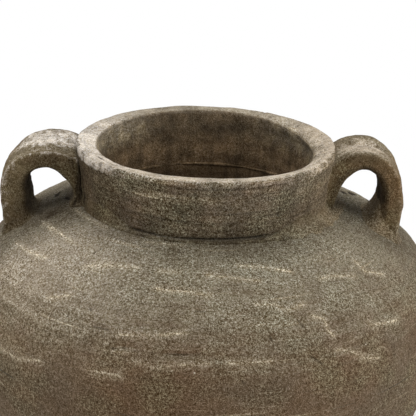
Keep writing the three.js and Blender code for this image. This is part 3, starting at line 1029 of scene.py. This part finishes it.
def smear_ring(turn):
    """Section of the coil at one place round the neck: its visible curve, then the clay behind it."""
    share = smear_share(turn)
    rightward = soft(math.cos(turn) / RIGHT_SPAN + 0.5)
    uneven = waver(turn, TOE_WAVES) * between(*TOE_WAVER, share * rightward)
    out = SMEAR_OUT + (SMEAR_OUT_RIGHT * rightward - SMEAR_IN) * share + uneven
    toe = NECK_FOOT + out * MM
    ground = shoulder_height(toe)
    start = (toe, ground + between(*TOE_STANDS, share) * MM)
    end = smear_top(turn)
    corner_out = min(between(*CORNER_OUT, share), out - CORNER_MARGIN)
    corner = (NECK_FOOT + corner_out * MM, NECK_SEAM + between(*CORNER_UP, share) * MM)
    behind = [
        (NECK_FOOT - SMEAR_BACK, end[1]),
        (NECK_FOOT - SMEAR_BACK, NECK_SEAM - SMEAR_UNDER),
        (toe, ground - SMEAR_BACK),
    ]
    section = eased(start, corner, corner, end, SMEAR_CURVE) + behind
    return [Vector((radius * math.cos(turn), radius * math.sin(turn), height)) for radius, height in section]


def neck_foot_coil(tree, marks, coil_clay):
    turns = [2 * math.pi * step / SMEAR_ROUND for step in range(SMEAR_ROUND)]
    rings = [smear_ring(turn) for turn in turns]
    # The narrow roll at the front gets grime and painted shade in its crevice
    grime_and_shade = [[1 - smear_share(turn)] * len(rings[0]) for turn in turns]
    mesh = ringed_mesh("neck_foot", rings, {"grime_and_shade": grime_and_shade}, closed_along=True)
    smear = formed("neck_foot_coil", mesh, tree, marks, coil_clay, wobble=0.5 * MM, wobble_span=24 * MM,
                   lump=0.45 * MM, lump_span=7 * MM, pit_spacing=9 * MM, seam_cut=1.2 * MM)
    keep(drawn_out(smear, lambda height: NECK_FOOT, SMEAR_PULL_FADE), "neck_seam_coil")


# Handles

STRAP_WIDTH = 45 * MM
STRAP_FULLNESS = 6.5
INNER_FULLNESS = 4.6
STRAP_SPREAD = 2 * MM
STRAP_THROUGH = 0.4
STRAP_STEP = 0.5 * MM
SECTION_STEPS = 2000
SEAM_ROUND = 60

# Shares of a strap's length between which its limbs go into the shoulder, and the halvings that find where
OUTER_SHARES = (0.6, 1.0)
INNER_SHARES = (0.4, 0.0)
HALVINGS = 30
ARCH_FULLNESS = 0.62
INNER_LIMB = 9 * MM
INNER_SINK = 4 * MM
SPRING_DROP = 38 * MM
FOOT_TUCK = 4 * MM
GROOVE_SPAN = 0.1
UNDER_FULLNESS = 1.4 * MM

# Wear with a painted highlight on the top edges, dirt with painted shade, in shares of the strap's half width
# and half thickness
WEAR_SPAN = 0.7
EDGE_WEAR_AND_HIGHLIGHT = 0.42
EDGE_HIGHLIGHT_AT = 0.95
EDGE_HIGHLIGHT_SPAN = 0.06
SHADE_SPAN = 0.55

# Where a strap meets the neck: an open crease at the left; at the right it is filled up and smoothed over
SEAT_UNDER = 6 * MM
SEAT_OVER = 2 * MM
CREASE_FROM = 0.84
CREASE_OPEN = 1.5 * MM
FUSED = 1.7 * MM
FILLET = 3 * MM
FILLET_REACH = 8 * MM
TOP_FILL = 4.5 * MM

# Ground under the left loop that gets painted shade: mm across, mm between steps out from the neck, how many
# steps, and how deep the lines lie under the skin
LOOP_SHADE_FROM = 8
LOOP_SHADE_LINES = [((-10, 10, 24, 36), 3, 16, 4 * MM), ((-12, -4, 4, 12), 2, 5, 4 / 3 * MM)]

# Lines up the open crease, which lay painted shade along it: mm across, and mm out from the neck
CREASE_LINES = [(20, 8), (22.6, 6), (23.4, 4.2), (24.2, 2.6), (24.5, 1), (26, 0.4), (28, -0.6), (30, -1.8)]
CREASE_STEP = 2 * MM
CREASE_STEPS = 18


def section_at(turn):
    """A point of the strap's section, -1 to 1 across it and through it; the loop's inner side is rounder."""
    power = 2 / (STRAP_FULLNESS if math.sin(turn) > 0 else INNER_FULLNESS)
    return tuple(math.copysign(abs(value) ** power, value) for value in (math.cos(turn), math.sin(turn)))


def even_turns(count):
    """Turns that lie evenly along the section's outline."""
    outline = []
    for step in range(SECTION_STEPS + 1):
        angle = 2 * math.pi * step / SECTION_STEPS
        across, out = math.cos(angle), math.sin(angle) / STRAP_THROUGH
        size = (abs(across) ** STRAP_FULLNESS + abs(out) ** STRAP_FULLNESS) ** (1 / STRAP_FULLNESS)
        outline.append((across / size, out / size * STRAP_THROUGH))
    length = sum(map(math.dist, outline, outline[1:]))
    power = STRAP_FULLNESS / 2
    turns = []
    for across, out, *_ in stretch(outline, length / count)[:count]:
        through = out / STRAP_THROUGH
        turns.append(math.atan2(*(math.copysign(abs(value) ** power, value) for value in (through, across))))
    return turns


class Strap:
    """A pulled strap in its own upright plane: it climbs the neck, arches out and comes to the shoulder.

    Its sizes are the thickness of limb and crown, the reach and rise from the lip, the lean to one side, the
    web under the arch, a thumb's groove and its place, the wear (with a painted highlight on the top edges)
    and its place, whether the crease at the neck is open, the fillet, the dirt and painted shade on the inner
    face, and how the inner limb flares at its foot."""

    def __init__(self, **sizes):
        vars(self).update(sizes)
        inner = NECK_FOOT + INNER_LIMB - self.limb / 2
        outer = RIM_RADIUS + self.reach - self.limb / 2
        spring = RIM_HEIGHT - SPRING_DROP
        top = RIM_HEIGHT + self.rise - self.crown / 2
        middle = (inner + outer) / 2
        side = between(spring, top, ARCH_FULLNESS)
        easing = ARCH_FULLNESS * (outer - middle)
        climb = eased((inner, spring), (inner, side), (middle - easing, top), (middle, top))
        fall = eased((middle, top), (middle + easing, top), (outer, side), (outer, spring))
        foot = outer - FOOT_TUCK
        start = (inner, shoulder_height(inner + self.limb / 2) - INNER_SINK)
        end = (foot, shoulder_height(foot) - self.limb)
        self.line = [point[:2] for point in stretch([start, *climb, *fall[1:], end], STRAP_STEP)]

    def at(self, share):
        """Centre and direction of the strap at a share of its length."""
        place = share * (len(self.line) - 1)
        step = min(int(place), len(self.line) - 2)
        centre = tuple(between(a, b, place - step) for a, b in zip(self.line[step], self.line[step + 1]))
        before, after = self.line[max(step - 2, 0)], self.line[min(step + 3, len(self.line) - 1)]
        length = math.dist(before, after)
        return centre, tuple((b - a) / length for a, b in zip(before, after))

    def skin(self, share, turn, growth=0.0):
        """A point of the strap's skin; turn goes round its section, growth stands out from it."""
        (radius, height), along = self.at(share)
        level = along[0] ** 2
        thickness = between(self.limb, self.crown, level)
        half_width = STRAP_WIDTH / 2 + STRAP_SPREAD * math.cos(share * math.pi) ** 2
        across, out = section_at(turn)
        thumbed = self.groove * math.sqrt(level) * max(0.0, math.sin(turn))
        thumbed *= math.exp(-((across - self.groove_at) / GROOVE_SPAN) ** 2)
        under = UNDER_FULLNESS * level + self.web * max(0.0, 2 * along[0] * along[1])
        out = out * thickness / 2 - thumbed + under * min(0.0, out) + growth * math.sin(turn)
        y = across * half_width + growth * math.cos(turn)
        return Vector((radius - along[1] * out, y, height + along[0] * out - across * level * self.lean / 2))

    def flared(self, share, turn):
        """The skin; the inner limb spreads on the shoulder, or thins so that it melts into the neck."""
        point = self.skin(share, turn)
        if share > 0.5:
            return point
        low = clamped(1 + depth_under_shoulder(point) / self.flare_climb)
        return self.skin(share, turn, self.flare * low**2)

    def wear_and_highlight(self, share, turn):
        """Hands and weather wear the top of the arch; its top edges are worn and get a painted highlight."""
        along = self.at(share)[1]
        across = section_at(turn)[0]
        crown = math.exp(-((across - self.wear_at) / WEAR_SPAN) ** 2) * max(0.0, along[0]) ** 3
        # painted highlight along the top edges, with their wear
        edge = EDGE_WEAR_AND_HIGHLIGHT * math.exp(-((abs(across) - EDGE_HIGHLIGHT_AT) / EDGE_HIGHLIGHT_SPAN) ** 2)
        return self.wear * max(crown, edge) * max(0.0, math.sin(turn)) ** 0.4

    def soiled(self, turn):
        """Dirt and painted shade on the inner face of the loop and on the edge beside it."""
        return max(self.soil, soft((-section_at(turn)[1] - self.soil_edge) / SHADE_SPAN))

    def seated(self, point, turn):
        """A point that reaches into the neck is pressed back, fully or with an open crease at each edge."""
        if not NECK_SEAM - SEAT_UNDER < point.z < RIM_HEIGHT + SEAT_OVER:
            return point
        bevelled = clamped((point.z - RIM_HEIGHT) / LIP_BEVEL_DROP + 1)
        limit = neck_radius(point.z) - SINK - LIP_BEVEL * bevelled
        if self.open_crease:
            edge = min(abs(point.y) / (STRAP_WIDTH / 2), 1.0)
            wall = math.sqrt((limit + NECK_PULL_LEFT) ** 2 - point.y**2)
            opening = CREASE_OPEN * max(0.0, (edge - CREASE_FROM) / (1 - CREASE_FROM)) ** 2
            return Vector((max(point.x, wall + opening), point.y, point.z))
        limit -= FUSED
        radius = math.hypot(point.x, point.y)
        press = max(limit / radius, 1.0)
        close = clamped(1 - (radius - limit) / FILLET_REACH)
        spread = 1 + FILLET / (STRAP_WIDTH / 2) * close**2
        lift = TOP_FILL * close**2 * max(0.0, math.sin(turn)) ** 0.5
        return Vector((point.x * press, point.y * press * spread, point.z + lift))

    def seams(self):
        """Where it meets the shoulder, the ground under it that gets painted shade, and where its edges meet
        the neck.
        """
        turns = even_turns(SEAM_ROUND)
        turns.append(turns[0])
        lines = [[self.skin(foot_share(self, turn, 0.0), turn) for turn in turns]]
        inner = [foot_share(self, turn, 0.0, limb=INNER_SHARES) for turn in turns]
        lines.append([self.seated(self.flared(share, turn), turn) for share, turn in zip(inner, turns)])
        if not self.open_crease:
            return lines
        for across, gap, count, depth in LOOP_SHADE_LINES:
            radii = [NECK_FOOT + (LOOP_SHADE_FROM + gap * step) * MM for step in range(count)]
            for y in across:
                lines.append([Vector((radius, y * MM, shoulder_height(radius) - depth)) for radius in radii])
        heights = [NECK_SEAM + CREASE_STEP * step for step in range(CREASE_STEPS)]
        for across, out in CREASE_LINES:
            for y in (-across * MM, across * MM):
                walls = [math.sqrt((neck_radius(z) + NECK_PULL_LEFT) ** 2 - y**2) for z in heights]
                lines.append([Vector((wall + out * MM, y, z)) for wall, z in zip(walls, heights)])
        return lines


# The crease before the left strap gets painted shadow, wider towards the foot. For each line through it: mm
# across and mm out from the neck as it was before the pull, at the lip and then at the foot
CREASE_SHADOW_LINES = [((24.8, 3.2), (24.6, 10.5)), ((24.8, 3.6), (24.8, 7)), ((25.4, 0.6), (29, 0.2))]
CREASE_SHADOW_FOOT = NECK_SEAM - 1 * MM
CREASE_SHADOW_HEIGHT = 36 * MM
CREASE_SHADOW_STEPS = 18


def shadowed_crease():
    lines = []
    for top, foot in CREASE_SHADOW_LINES:
        line = []
        for step in range(CREASE_SHADOW_STEPS + 1):
            share = step / CREASE_SHADOW_STEPS
            height = CREASE_SHADOW_FOOT + CREASE_SHADOW_HEIGHT * share
            y, out = (between(low, high, share) * MM for low, high in zip(foot, top))
            line.append(Vector((-math.sqrt(neck_radius(height) ** 2 - y**2) - out, -y, height)))
        lines.append(line)
    return lines


def depth_under_shoulder(point):
    return shoulder_height(math.hypot(point.x, point.y)) - point.z


def foot_share(strap, turn, depth, growth=0.0, limb=OUTER_SHARES):
    """Share of the strap's length, on one limb, at which its skin is this deep under the shoulder's."""
    low, high = limb
    for _ in range(HALVINGS):
        middle = (low + high) / 2
        if depth_under_shoulder(strap.skin(middle, turn, growth)) < depth:
            low = middle
        else:
            high = middle
    return low


def ringed_mesh(name, rings, notes=None, closed_along=False):
    """Closed mesh through rings of points, with notes for the clay's colour. Open rows end in fans; closed
    rows join the last ring to the first, and their rings run the other way round."""
    count = len(rings[0])
    points = [point for ring in rings for point in ring]
    rows = len(rings) if closed_along else len(rings) - 1
    faces = []
    for row in range(rows):
        low, high = row * count, (row + 1) % len(rings) * count
        for step in range(count):
            after = (step + 1) % count
            face = (low + step, low + after, high + after, high + step)
            faces.append(face[::-1] if closed_along else face)
    if not closed_along:
        for row, turned in ((0, True), (len(rings) - 1, False)):
            middle = len(points)
            points.append(sum(rings[row], Vector()) / count)
            for step in range(count):
                edge = (row * count + step, row * count + (step + 1) % count)
                faces.append((*(edge[::-1] if turned else edge), middle))
    mesh = bpy.data.meshes.new(name)
    mesh.from_pydata(points, [], faces)
    for note, rows_of_values in (notes or {}).items():
        values = [value for row in rows_of_values for value in row]
        values += [0.0] * (len(points) - len(values))
        mesh.attributes.new(note, "FLOAT", "POINT").data.foreach_set("value", values)
    return mesh


STRAP_RINGS = 200
STRAP_ROUND = 160


def strap_mesh(strap, name):
    turns = even_turns(STRAP_ROUND)
    ends = [foot_share(strap, turn, SINK) for turn in turns]
    rings = []
    wear = []
    for row in range(STRAP_RINGS + 1):
        shares = [row / STRAP_RINGS * end for end in ends]
        rings.append([strap.seated(strap.flared(share, turn), turn) for share, turn in zip(shares, turns)])
        wear.append([strap.wear_and_highlight(share, turn) for share, turn in zip(shares, turns)])
    # dirt and painted shade on the loop's inner face
    soil = [[strap.soiled(turn) for turn in turns]] * len(rings)
    return ringed_mesh(name, rings, {"wear_and_highlight": wear, "grime_and_shade": soil})


# Skirt of clay round a strap's outer foot
FOOT_ROUND = 140
FOOT_CURVE = 8
FOOT_SMEAR = 5 * MM
FOOT_SMEAR_CLIMB = 9 * MM
FOOT_FLUSH = 0.3 * MM
FOOT_ROOT_DEPTH = 2.5 * MM
FOOT_ROOT_INSET = 1.5 * MM

# Shares of the fillet by which its hollow and its toe stand further out on the loop's inner side
FOOT_HEEL = 0.4
FOOT_TOE = 0.7


def foot_coil_mesh(strap, name):
    """Skirt of clay round the outer foot: it leaves the strap flush and runs out flush on the shoulder."""
    rings = []
    for turn in even_turns(FOOT_ROUND):
        extra = strap.fillet * max(0.0, -math.sin(turn))
        heel = FOOT_HEEL * extra
        spread = FOOT_SMEAR + FOOT_TOE * extra
        top = strap.skin(foot_share(strap, turn, -FOOT_SMEAR_CLIMB - extra), turn, -FOOT_FLUSH)
        corner = strap.skin(foot_share(strap, turn, 0.0, heel), turn, heel)
        toe = strap.skin(foot_share(strap, turn, 0.0, spread), turn, spread)
        toe.z -= FOOT_FLUSH
        root = strap.skin(foot_share(strap, turn, FOOT_ROOT_DEPTH), turn, -FOOT_ROOT_INSET)
        ring = []
        for part in range(FOOT_CURVE + 1):
            share = part / FOOT_CURVE
            ring.append(top * (1 - share) ** 2 + corner * 2 * share * (1 - share) + toe * share**2)
        rings.append([*ring, root])
    return ringed_mesh(name, rings, closed_along=True)


def turned_round(mesh):
    """The left handle faces the other way, so its mesh is turned half round the axis."""
    for vertex in mesh.vertices:
        vertex.co.x, vertex.co.y = -vertex.co.x, -vertex.co.y


STRAPS = {
    "left": Strap(
        limb=19.5 * MM, crown=14 * MM, reach=58 * MM, rise=-2.2 * MM, lean=4.5 * MM, web=3.5 * MM,
        groove=0.9 * MM, groove_at=0.72, wear=0.93, wear_at=-0.18, open_crease=True, fillet=1 * MM,
        soil=0.0, soil_edge=0.4, flare=3 * MM, flare_climb=10 * MM,
    ),
    "right": Strap(
        limb=17 * MM, crown=14.4 * MM, reach=52 * MM, rise=3 * MM, lean=-1.2 * MM, web=1.5 * MM,
        groove=1.6 * MM, groove_at=-0.05, wear=0.85, wear_at=-0.35, open_crease=False, fillet=10 * MM,
        soil=0.2, soil_edge=0.05, flare=-6.5 * MM, flare_climb=26 * MM,
    ),
}


def handles(tree, marks, handle_clay, coil_clay):
    for side, strap in STRAPS.items():
        loop_mesh = strap_mesh(strap, f"{side}_strap")
        foot_mesh = foot_coil_mesh(strap, f"{side}_foot")
        if side == "left":
            turned_round(loop_mesh)
            turned_round(foot_mesh)
        loop = formed(f"{side}_strap_loop", loop_mesh, tree, marks, handle_clay, wobble=0.9 * MM,
                      wobble_span=28 * MM, lump=0.4 * MM, ring_depth=0.15 * MM, pit_spacing=16 * MM)
        keep(loop, f"{side}_handle")
        smear = formed(f"{side}_foot_smear", foot_mesh, tree, marks, coil_clay, wobble=0.3 * MM,
                       wobble_span=20 * MM, lump=0.3 * MM, ring_depth=0.1 * MM, pit_depth=0.0)
        keep(smear, f"{side}_handle_foot_coil")


# Marks on the skin

# Points along each stroke of sand: degrees from the front, + to the right, and mm from the axis
DRAGS = [
    [(-70, 146), (-60, 143), (-53, 140)],
    [(-75, 124.5), (-68, 122.5), (-63, 121.5), (-58, 120.5), (-52, 120)],
    [(-73, 125.7), (-67, 123.7), (-61, 122.4)],
    [(-72, 122.9), (-65, 120.8), (-59, 119.6)],
    [(-72, 100), (-62, 98), (-54, 97), (-46, 97)],
    [(-37, 133), (-27, 127), (-21, 125)],
    [(-37.5, 134.2), (-31, 130.2)],
    [(-36, 131.3), (-30, 127.6)],
    [(-14, 125), (-8, 124)],
    [(-13, 139), (-4, 139), (2, 141)],
    [(-42, 160), (-36, 155)],
    [(-19, 167), (-10, 165), (-4, 163)],
    [(-15, 175), (-10, 176), (-5, 175), (2, 174)],
    [(-23, 179), (-17, 179)],
    [(-51, 181), (-44, 181), (-37, 180)],
    [(1, 125), (9, 128), (17, 132)],
    [(12, 117), (21, 121), (28, 127)],
    [(36, 137), (41, 138), (48, 143)],
    [(53, 134), (53, 143), (58, 150)],
    [(14, 148), (19, 149), (22, 153), (27, 151)],
    [(28, 158), (31, 161), (31, 166), (32, 169)],
    [(32, 174), (35, 175), (39, 178), (43, 179)],
    [(43, 169), (49, 171), (53, 172)],
    [(6, 174), (12, 174), (16, 174)],
    [(-24, 100), (-16, 98), (-9, 97)],
]
SCRATCHES = [
    [(-39, 123), (-38, 116)],
    [(-11, 104), (-9, 104.5)],
    [(-26, 166), (-22, 166)],
    [(-21, 173), (-16, 171)],
    [(-8, 172), (0, 171)],
    [(-29, 158), (-28, 159)],
    [(-34, 164), (-33.5, 165)],
    [(-2, 151), (1, 151)],
    [(25, 174), (28, 177)],
    [(24, 159), (25, 163)],
    [(16, 165), (16.5, 167)],
    [(9, 178.5), (9.5, 179)],
]

# Places where the skin broke away behind the handles
GOUGES = [
    [(108.5, 113.5), (111, 114.5), (109, 116)],
    [(110.5, 122), (114, 124), (111.5, 126), (114, 128)],
    [(108, 136), (110.5, 136.5), (108, 137.5)],
    [(-99, 114), (-95, 114.5), (-98, 116)],
    [(-90, 105.5), (-86, 102.5)],
]

# Scratches on the neck: degrees from the front, and mm over the floor
NECK_SCRATCHES = [
    [(-5, 268), (-4, 267.5)],
    [(17, 267), (18, 266.5)],
    [(-41, 259), (-25, 257)],
    [(24, 252), (40, 253)],
]
MARK_STEPS = 12
SEAM_DEPTH = 5 * MM


def over_skin(marks, on_neck=False):
    """The points of marks in close steps along the skin of the shoulder, or of the neck."""
    lines = []
    for mark in marks:
        line = []
        for start, end in zip(mark, mark[1:]):
            for step in range(MARK_STEPS + 1):
                turn, far = (between(a, b, step / MARK_STEPS) for a, b in zip(start, end))
                angle = math.radians(turn)
                far *= MM
                radius, height = (neck_radius(far), far) if on_neck else (far, shoulder_height(far))
                line.append(Vector((radius * math.sin(angle), -radius * math.cos(angle), height)))
        lines.append(line)
    return lines


def neck_seam_point(turn):
    """The seam over the neck's foot coil: open as a crease at the front, and deeper in the clay elsewhere."""
    radius, height = smear_top(turn)
    radius -= SEAM_DEPTH * smear_share(turn)
    return Vector((radius * math.cos(turn), radius * math.sin(turn), height))


def seam_lines():
    lines = [[neck_seam_point(math.radians(step)) for step in range(361)]]
    lines += STRAPS["right"].seams()
    lines += [[Vector((-point.x, -point.y, point.z)) for point in line] for line in STRAPS["left"].seams()]
    return lines


def line_object(name, lines):
    points = []
    edges = []
    for line in lines:
        first = len(points)
        points += line
        edges += [(step, step + 1) for step in range(first, len(points) - 1)]
    mesh = bpy.data.meshes.new(name)
    mesh.from_pydata(points, edges, [])
    return placed(name, mesh)


# Studio

CAMERA_PLACE = Vector((0.0, -1.0481, 0.6139))
CAMERA_AIM = Vector((0.0020, 0.0, 0.2270))
CAMERA_ROLL = math.radians(1.9)
LENS_MM = 127.57
SENSOR_MM = 36.0


def aimed(thing, place, aim):
    """Puts a camera or lamp in its place and turns it to what it looks at."""
    thing.location = place
    thing.rotation_mode = "QUATERNION"
    thing.rotation_quaternion = (aim - place).to_track_quat("-Z", "Y")


def camera():
    data = bpy.data.cameras.new("camera")
    data.sensor_width = SENSOR_MM
    data.lens = LENS_MM
    eye = placed("camera", data)
    aimed(eye, CAMERA_PLACE, CAMERA_AIM)
    eye.rotation_quaternion = eye.rotation_quaternion @ Quaternion((0, 0, 1), CAMERA_ROLL)
    bpy.context.scene.camera = eye


def seen_directly(tree):
    """1 for what the eye sees, also in a mirror or through glass, and 0 for light on its way."""
    rays = add(tree, "ShaderNodeLightPath").outputs
    seen = rays["Is Camera Ray"]
    for kind in ("Is Glossy Ray", "Is Transmission Ray"):
        seen = add(tree, "ShaderNodeMath", {0: seen, 1: rays[kind]}, operation="MAXIMUM")
    return seen


WHITE = (1, 1, 1, 1)
PAPER = "#e9e7e3"
FLOOR_HALF = 9.0
SHADOW_REACH = 0.36
FLOOR_FADE = 0.62
WORLD_LEVEL = 0.31


def floor():
    """Pale paper floor: it keeps the shadow round the pot and runs out to plain white."""
    corners = [(x * FLOOR_HALF, y * FLOOR_HALF, 0) for x, y in ((-1, -1), (1, -1), (1, 1), (-1, 1))]
    mesh = bpy.data.meshes.new("paper_floor")
    mesh.from_pydata(corners, [], [(0, 1, 2, 3)])
    sheet = placed("paper_floor", mesh)
    material = bpy.data.materials.new("matt white paper")
    tree = empty_tree(material)
    place = add(tree, "ShaderNodeTexCoord").outputs["Object"]
    away = picked(add(tree, "ShaderNodeVectorMath", {0: place}, operation="LENGTH").outputs, "Value")
    far = add(tree, "ShaderNodeMapRange", {"Value": away, "From Min": SHADOW_REACH, "From Max": FLOOR_FADE},
              interpolation_type="SMOOTHSTEP")
    white = add(tree, "ShaderNodeMath", {0: far, 1: seen_directly(tree)}, operation="MULTIPLY")
    paper = add(tree, "ShaderNodeBsdfDiffuse", {"Color": srgb(PAPER)})
    glow = add(tree, "ShaderNodeEmission", {"Color": WHITE, "Strength": 1.0})
    mixed = add(tree, "ShaderNodeMixShader", {0: white, 1: paper, 2: glow})
    add(tree, "ShaderNodeOutputMaterial", {"Surface": mixed})
    mesh.materials.append(material)


def sky():
    world = bpy.data.worlds.new("white studio")
    tree = empty_tree(world)
    level = add(tree, "ShaderNodeMapRange",
                {"Value": seen_directly(tree), "To Min": WORLD_LEVEL, "To Max": 1.0})
    glow = add(tree, "ShaderNodeBackground", {"Color": WHITE, "Strength": level})
    add(tree, "ShaderNodeOutputWorld", {"Surface": glow})
    bpy.context.scene.world = world


LAMPS = [
    # name, place, aim, side of the square, watts
    ("overhead", Vector((0.0, 0.1, 1.55)), Vector((0, 0, 0.2)), 2.2, 28.8),
    ("left_fill", Vector((-2.1, -0.9, 0.8)), Vector((0, 0, 0.15)), 1.2, 7.0),
    ("right_fill", Vector((2.1, -1.0, 0.5)), Vector((0, 0, 0.15)), 1.2, 29.0),
]


def lamps():
    for name, place, aim, side, watts in LAMPS:
        data = bpy.data.lights.new(name, "AREA")
        data.shape = "SQUARE"
        data.size = side
        data.energy = watts
        aimed(placed(name, data), place, aim)


# The clays: their colours; how sandy, gritty, uneven and olive they are, how much painted light from the left
# they get, and how streaky; and whether the flanks beside the handles get dirt and painted shade at the left
# and painted light at the right
CLAYS = {
    # Dull brown under grey dust, with painted light at the left, and pale strokes of sand
    "body_clay": dict(
        name="sandy earthenware, thrown", brown="#64503c", grey="#615342", dust="#7b7563", sand="#bdae92",
        sandy=0.38, contrast=0.33, uneven=0.12, olive=0.2, left_light=0.9, streaky=0.06, flanks=0,
    ),
    # Greyer and blotchy, streaked by the wheel, with grit that stands out most
    "neck_clay": dict(
        name="sandy earthenware, turned collar", brown="#6b5b48", grey="#6a6050", dust="#7f7766",
        sand="#a3957a", sandy=0.55, contrast=0.43, uneven=0.32, olive=0.28, left_light=0, streaky=0.22, flanks=1,
    ),
    # Warmer brown, without streaks, with grit that shows least
    "handle_clay": dict(
        name="sandy earthenware, pulled strap", brown="#69553b", grey="#665942", dust="#7b705c",
        sand="#a3957a", sandy=0.3, contrast=0.3, uneven=0.28, olive=0.3, left_light=0, streaky=0, flanks=0,
    ),
    # Paler and greener than the rest, with the most olive growth
    "coil_clay": dict(
        name="sandy earthenware, smeared coil", brown="#6e6049", grey="#6c624e", dust="#827962",
        sand="#a89a72", sandy=0.3, contrast=0.38, uneven=0.28, olive=0.5, left_light=0, streaky=0, flanks=1,
    ),
}

camera()
floor()
sky()
lamps()

clays = {slot: sandy_earthenware(**look) for slot, look in CLAYS.items()}
marks = {
    "Seams": line_object("seams", seam_lines()),
    "Drags": line_object("drags", over_skin(DRAGS)),
    "Scratches": line_object("scratches", over_skin(SCRATCHES) + over_skin(NECK_SCRATCHES, on_neck=True)),
    # gouges, and the crease before the left strap, darkened with painted shadow
    "Gouges": line_object("gouges", over_skin(GOUGES) + shadowed_crease()),
}
hand_formed = hand_formed_tree()
thrown_pieces(thrown_wall_tree(), marks, clays)
neck_foot_coil(hand_formed, marks, clays["coil_clay"])
handles(hand_formed, marks, clays["handle_clay"], clays["coil_clay"])
for lines in marks.values():
    bpy.data.objects.remove(lines)

bpy.context.scene.view_settings.view_transform = "Standard"
